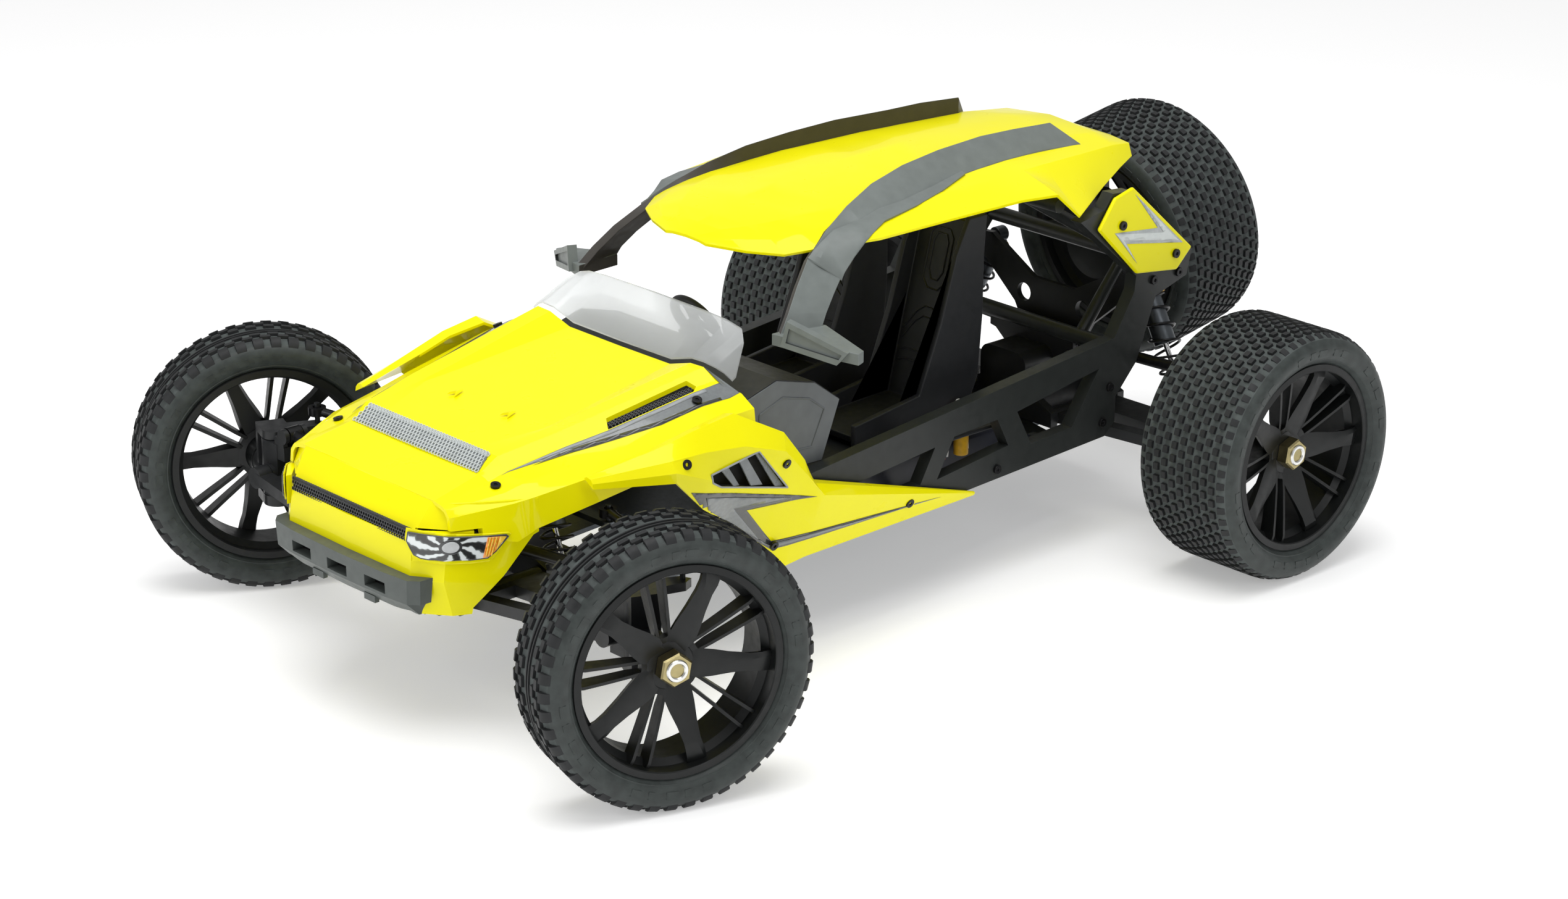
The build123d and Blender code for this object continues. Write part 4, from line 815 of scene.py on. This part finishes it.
def make_wiring():
    """The capacitor that shows through the frame's window, and two leads behind the seat."""
    can = Shape()
    can.tube([(-100.3, 70, 74), (-100.3, 70, 90)], 4.6, 28)
    can.tube([(-100.3, 70, 89.5), (-100.3, 70, 90.6)], 3.9, 28)
    make("capacitor", can, CAN_YELLOW, smooth=50, edges=0.3)
    for name, finish, shift in (("lead_white", WIRE_WHITE, 0.0), ("lead_red", WIRE_RED, 2.2)):
        lead = Shape()
        points = []
        for i in range(25):
            t = i / 24
            points.append((-86 - 26 * t, 72 - shift - 8 * t, 76 + 34 * sin(pi * t) ** 0.7 - 3 * t - shift))
        lead.tube(points, 1.0, 10)
        make(name, lead, finish, smooth=60)


# ---- carried-over parts -------------------------------------------------------------------
def make_frame_parts():
    for node in ("side_frame_left", "side_frame_right"):
        moulded(node, FRAME_BLACK, edges=0.8)
    moulded("cage_crossbars", FRAME_BLACK, edges=0.7)
    moulded("chassis_plate", ALLOY, edges=0.4)
    moulded("bulkheads", ARM_BLACK, edges=0.6)
    moulded("steering_servo", CASE_BLACK, edges=0.5)
    moulded("speed_controller", CASE_BLACK, edges=0.6)
    moulded("battery_pack", CELL_WRAP, edges=1.2)
    moulded("motor", [BLACK_STEEL, SILVER], edges=0.4, pick=lambda p, n: int(abs(n.y) > 0.9))
    moulded("body_screws", BLACK_STEEL, edges=0.25, angle=40)
    moulded("servo_horn", SILVER, edges=0.3)
    moulded("drag_link", ALLOY, edges=0.3)
    for side, hand in SIDES:
        moulded(f"tie_rod_{hand}", BLACK_STEEL, edges=0.25)
        for part in ("front_knuckle", "front_caster_block", "rear_hub_carrier", "front_lower_arm",
                     "rear_lower_arm"):
            moulded(f"{part}_{hand}", ARM_BLACK, edges=0.6)
        for part in ("front_upper_link", "rear_upper_link"):
            moulded(f"{part}_{hand}", BLACK_STEEL, edges=0.4)


# ---- wheels ---------------------------------------------------------------------------
Wheel = namedtuple("Wheel", "lip bead hub_face spoke_face first_spoke carcass tread rows_per_turn block_arc"
                            " crown")
FRONT_WHEEL = Wheel(
    lip=59, bead=18, hub_face=8, spoke_face=17, first_spoke=-5,
    carcass=[(59.2, 18), (61, 18.3), (62.3, 19.7), (63, 20.9), (63.7, 20.8), (65, 21.9), (69.5, 23.1),
             (73, 22.6), (76, 20.6), (77.6, 17.5), (78.1, 13), (78.2, 4)],
    tread=[[(5.6, 0), (9.4, 0)], [(10.4, 0), (14.4, 0)],
           [(15.6, 0.1), (18.4, 0.6), (20.6, 2.6), (21.6, 4.8)]],
    rows_per_turn=46, block_arc=6.8, crown=79.9,
)
REAR_WHEEL = Wheel(
    lip=57, bead=31, hub_face=18, spoke_face=30, first_spoke=0,
    carcass=[(57.2, 31), (59.2, 31.2), (60.6, 33.4), (61.4, 34.6), (62.1, 34.5), (64, 36.2), (68, 37.3),
             (72, 36.6), (75.2, 34), (76.6, 31.5), (77, 28), (77.1, 4)],
    tread=[[(4.2, 0), (8.4, 0)], [(10.5, 0), (14.7, 0)], [(16.8, 0), (21, 0)], [(23.1, 0), (27.3, 0.2)],
           [(29, 0.9), (32.4, 2.2), (34.2, 4.2), (35.6, 6)]],
    rows_per_turn=60, block_arc=4.7, crown=78.9,
)
WALL = 3.0                 # a tyre's wall at its bead
BAR_SPANS = (5.2, 3.0, 6.0, 3.6, 4.6)   # degrees of the plain raised bars on a sidewall
NUT_FLATS = 17.0
NUT_HEIGHT = 8.0
AXLE_RADIUS = 4.0
SPARE_CENTRE = (-331.5, 0, 157.5)
SPARE_LEAN = 9.5


def wheel_place(centre, axis):
    """Millimetres round a wheel's centre, z outward along its axle, to the frame's metres."""
    axis = Vector(axis).normalized()
    aside = Vector((0, 0, 1)).cross(axis).normalized()
    turn = Matrix((aside, axis.cross(aside), axis)).transposed().to_4x4()
    return Matrix.Translation(centre) @ turn @ Matrix.Scale(MM, 4)


def tread_block(shape, wheel, angle, stations, hand, sink=1.6):
    """One block of the tread. Its stations are (along the axle, drop below the crown), and hand is its half
    of the tyre."""
    half = wheel.block_arc / 2 / wheel.crown
    rings = []
    last = len(stations) - 1
    for i, (a, drop) in enumerate(stations):
        top = wheel.crown - drop
        inset = 0.3 if i in (0, last) else 0.0
        shift = 0.3 * (1 if i == 0 else -1) if inset else 0.0
        ring = []
        for r, share, move in ((top - 2 - sink, 1.06, 0), (top, 0.9, shift), (top, -0.9, shift),
                               (top - 2 - sink, -1.06, 0)):
            t = angle + half * share
            ring.append((r * cos(t), r * sin(t), hand * (a + move)))
        rings.append(ring)
    shape.loft(rings, mark=0)


def make_tyre(name, node, body, place, wheel, steps=144):
    shape = Shape()
    outer = wheel.carcass
    foot_r, foot_a = outer[0]
    inner = [(foot_r, foot_a - WALL), (64, foot_a - WALL + 2), (wheel.crown - 8, wheel.bead * 0.9),
             (wheel.crown - 6, 2)]
    outline = outer + [(r, -a) for r, a in reversed(outer)]
    outline += [(r, -a) for r, a in inner] + [(r, a) for r, a in reversed(inner)]
    marks = [1 if (i >= 8 and i <= len(outer) * 2 - 10) else 2 for i in range(len(outline))]
    shape.lathe(outline, steps, marks=marks)
    pitch = 2 * pi / wheel.rows_per_turn
    for row, stations in enumerate(wheel.tread):
        for hand in (1, -1):
            for i in range(wheel.rows_per_turn):
                tread_block(shape, wheel, pitch * (i + 0.5 * (row % 2)), stations, hand)
    if wheel is FRONT_WHEEL:
        for a in (1.5, -1.5):
            shape.lathe([(77, a - 0.8), (79.2, a - 0.55), (79.2, a + 0.55), (77, a + 0.8)], steps, mark=0)
    else:
        for i in range(wheel.rows_per_turn):
            angle = pitch * (i + 0.5)
            tread_block(shape, wheel, angle, [(-2.1, 0), (2.1, 0)], 1)
    # plain raised bars round both sidewalls
    middle = outer[6]
    for hand in (1, -1):
        for group in range(6):
            for bar in range(len(BAR_SPANS)):
                start = radians(60 * group + 9 * bar + 4 * hand)
                span = radians(BAR_SPANS[bar])
                rings = []
                for k in range(4):
                    t = start + span * k / 3
                    ring = [(middle[0] - 3.2, outer[5][1] - 1.2), (middle[0] - 2.9, outer[5][1] + 0.75),
                            (middle[0] + 1.2, middle[1] + 0.18), (middle[0] + 1.6, middle[1] - 1.5)]
                    rings.append([(r * cos(t), r * sin(t), hand * a) for r, a in ring])
                shape.loft(rings, mark=2)
    return make(name, shape, [TREAD, GROOVE, SIDEWALL], body, [node], place, smooth=32)


def spoke_ring(wheel, angle, radius, half, drop, ridge, deep=6.0):
    """A spoke's section: two top facets that meet on a ridge, and a narrower back."""
    face_r = wheel.lip - 2
    rise = wheel.hub_face + (wheel.spoke_face - wheel.hub_face) * (radius - 10) / (face_r - 10) - drop
    c, s = cos(angle), sin(angle)
    ring = []
    for across, z in ((-half, rise - 1.3), (ridge * half, rise), (half, rise - 1.3),
                      (half * 0.75, rise - deep), (-half * 0.75, rise - deep)):
        ring.append((radius * c - across * s, radius * s + across * c, z))
    return ring


def make_rim(name, node, body, place, wheel, fixed=False):
    shape = Shape()
    seat, well, edge, wall = wheel.lip - 0.3, wheel.lip - 4, wheel.bead + 1.9, 2.4
    barrel = [
        (wheel.lip + 1.6, edge - 0.5), (wheel.lip + 1.9, edge - 1.0), (wheel.lip + 1.9, wheel.bead + 0.3),
        (seat, wheel.bead + 0.3), (seat, wheel.bead - 8), (well, wheel.bead - 11), (well, 8 - wheel.bead),
        (seat, 5 - wheel.bead), (seat, -wheel.bead - 0.3), (wheel.lip + 1.9, -wheel.bead - 0.3),
        (wheel.lip + 1.9, 0.8 - edge), (wheel.lip + 1.2, -edge), (seat - wall, -edge),
        (seat - wall, 4 - wheel.bead), (well - wall, 7 - wheel.bead), (well - wall, wheel.bead - 10),
        (seat - wall, wheel.bead - 7),
        (seat - wall, edge - 0.6), (seat - wall + 0.6, edge),
    ]
    shape.lathe(barrel, 96)
    reach = wheel.lip - 2.2
    widths = ((9, 7.2), (16, 8.4), (24, 7.7), (34, 6.0), (44, 5.0), (50, 5.4), (reach - 0.8, 5.8),
              (reach, 5.8))
    rib_ends = ((15, 2.0, 5), (24, 1.2, 8), (40, 0.8, 9), (reach - 4, 0.8, 10), (reach, 2.2, 10))
    climb = (wheel.spoke_face - wheel.hub_face) / (reach - 10)
    for k in range(5):
        angle = radians(wheel.first_spoke + 72 * k)
        rings = []
        for i, (radius, half) in enumerate(widths):
            drop = 0.0 if radius <= 50 else 2.6 * (radius - 50) / (reach - 50)
            ridge = -0.75 + 1.5 * (radius - 9) / (reach - 9)
            rings.append(spoke_ring(wheel, angle, radius, half, drop, ridge))
        shape.loft(rings)
        for shift in (-5.2, 5.2):
            rib = radians(wheel.first_spoke + 36 + 72 * k)
            rings = []
            for radius, top, deep in rib_ends:
                lean = shift * (0.62 + 0.38 * (radius - 15) / (reach - 15))
                rise = wheel.hub_face + climb * (radius - 10) - top
                c, s = cos(rib), sin(rib)
                section = ((-0.9, rise), (0.9, rise), (1.1, rise - deep), (-1.1, rise - deep))
                rings.append([(radius * c - (lean + w) * s, radius * s + (lean + w) * c, z) for w, z in section])
            shape.loft(rings)
    hub = wheel.hub_face
    back = 6 - wheel.bead if wheel is REAR_WHEEL else -9
    shape.lathe([(4.2, hub - 0.2), (13.2, hub - 0.2), (15.6, hub - 2.0), (16.6, hub - 5.5), (13, hub - 7),
                 (11, back), (4.2, back)], 40)
    for k in range(5):
        angle = radians(wheel.first_spoke + 36 + 72 * k)
        ends = ((10, 6.5), (17, 7.5))
        shape.loft([spoke_ring(wheel, angle, radius, half, 1.2, 0.0, 5.0) for radius, half in ends])
    corner = NUT_FLATS / sqrt(3)
    top = hub + NUT_HEIGHT
    rings = []
    turns = [k * pi / 3 + 0.35 for k in range(6)]
    for radius, z in ((corner, hub + 0.1), (corner, top - 1.1), (corner * 0.9, top - 0.05), (6.2, top - 0.05)):
        rings.append([(radius * cos(t), radius * sin(t), z) for t in turns])
    shape.loft(rings, mark=1)
    shape.lathe([(3.9, top - 1.5), (6.4, top - 1.5), (6.4, top + 0.5), (5.9, top + 1.1), (4.5, top + 1.1),
                 (3.9, top + 0.4)], 32, mark=2)
    shape.lathe([(0.6, top - 0.9), (3.95, top - 0.9), (3.95, top - 2.5), (0.6, top - 2.5)], 24, mark=3)
    stub = 1 if fixed else 14
    shape.tube([(0, 0, back - stub), (0, 0, hub - 1)], AXLE_RADIUS - 0.05, 24, mark=2)
    finishes = [RIM_BLACK, BRASS, SILVER, BLACK_STEEL]
    return make(name, shape, finishes, body, [node], place, smooth=28)


def make_wheels():
    for side, hand in SIDES:
        for end, wheel in (("front", FRONT_WHEEL), ("rear", REAR_WHEEL)):
            joint = joints[f"{end}_{hand}_wheel_spin"]
            place = wheel_place(joint["pos_m"], Vector(joint["axis"]) * side)
            body = f"{end}_wheel_{hand}"
            make_tyre(f"{end}_tread_tyre_{hand}", f"{end}_tyre_{hand}", body, place, wheel)
            make_rim(f"{end}_spoked_rim_{hand}", f"{end}_rim_{hand}", body, place, wheel)
    lean = radians(SPARE_LEAN)
    place = wheel_place(CAR @ Vector(SPARE_CENTRE), (-cos(lean), 0, sin(lean)))
    make_tyre("spare_tread_tyre", "spare_tyre", "chassis", place, REAR_WHEEL)
    make_rim("spare_spoked_rim", "spare_rim", "chassis", place, REAR_WHEEL, fixed=True)


# ---- dampers ----------------------------------------------------------------------------
Damper = namedtuple("Damper", "length bore")
DAMPERS = {"front": Damper(63.91, 6.6), "rear": Damper(87.71, 7.2)}


def make_dampers():
    for end, damper in DAMPERS.items():
        for side, hand in SIDES:
            top = CAR.inverted() @ Vector(joints[f"{end}_{hand}_shock_tilt"]["pos_m"])
            up = Vector(joints[f"{end}_{hand}_shock_slide"]["axis"]).normalized()
            start, stop = 12.9, damper.length - 13.9
            radius = damper.bore + 2.2
            aside = Vector((1, 0, 0))
            across = up.cross(aside)
            turns, steps = 6.5, 156
            points = []
            for i in range(steps + 1):
                share = i / steps
                # the first and last half turn lie flat on the collar and the cup
                along = min(max((share * (turns + 0.6) - 0.5) / (turns - 0.4), 0.0), 1.0)
                t = 2 * pi * turns * share
                points.append(top - up * (start + (stop - start) * along)
                              + (aside * cos(t) + across * sin(t)) * radius)
            coil = Shape()
            coil.tube(points, 0.9, 8)
            node = f"{end}_shock_spring_{hand}"
            piece = make(f"{end}_coil_{hand}", coil, BLACK_STEEL, None, [node], smooth=60)
            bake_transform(piece)

            def away(point):
                """Distance from the damper's line, and along it below the top eye."""
                offset = point - top
                down = -offset.dot(up)
                return (offset + up * down).length, down

            moulded(f"{end}_shock_body_{hand}", [ALLOY, GOLD], edges=0.3,
                    pick=lambda p, n: int(away(p)[0] > damper.bore + 0.4 and 7 < away(p)[1] < 13))
            moulded(f"{end}_shock_shaft_{hand}", [CHROME, ARM_BLACK], edges=0.25,
                    pick=lambda p, n: int(away(p)[0] > 2.2))


make_camera()
make_studio()
make_shell()
make_trim()
make_decals()
make_grilles()
make_vents()
make_lamps()
make_cockpit()
make_wiring()
make_wheels()
make_dampers()
make_frame_parts()
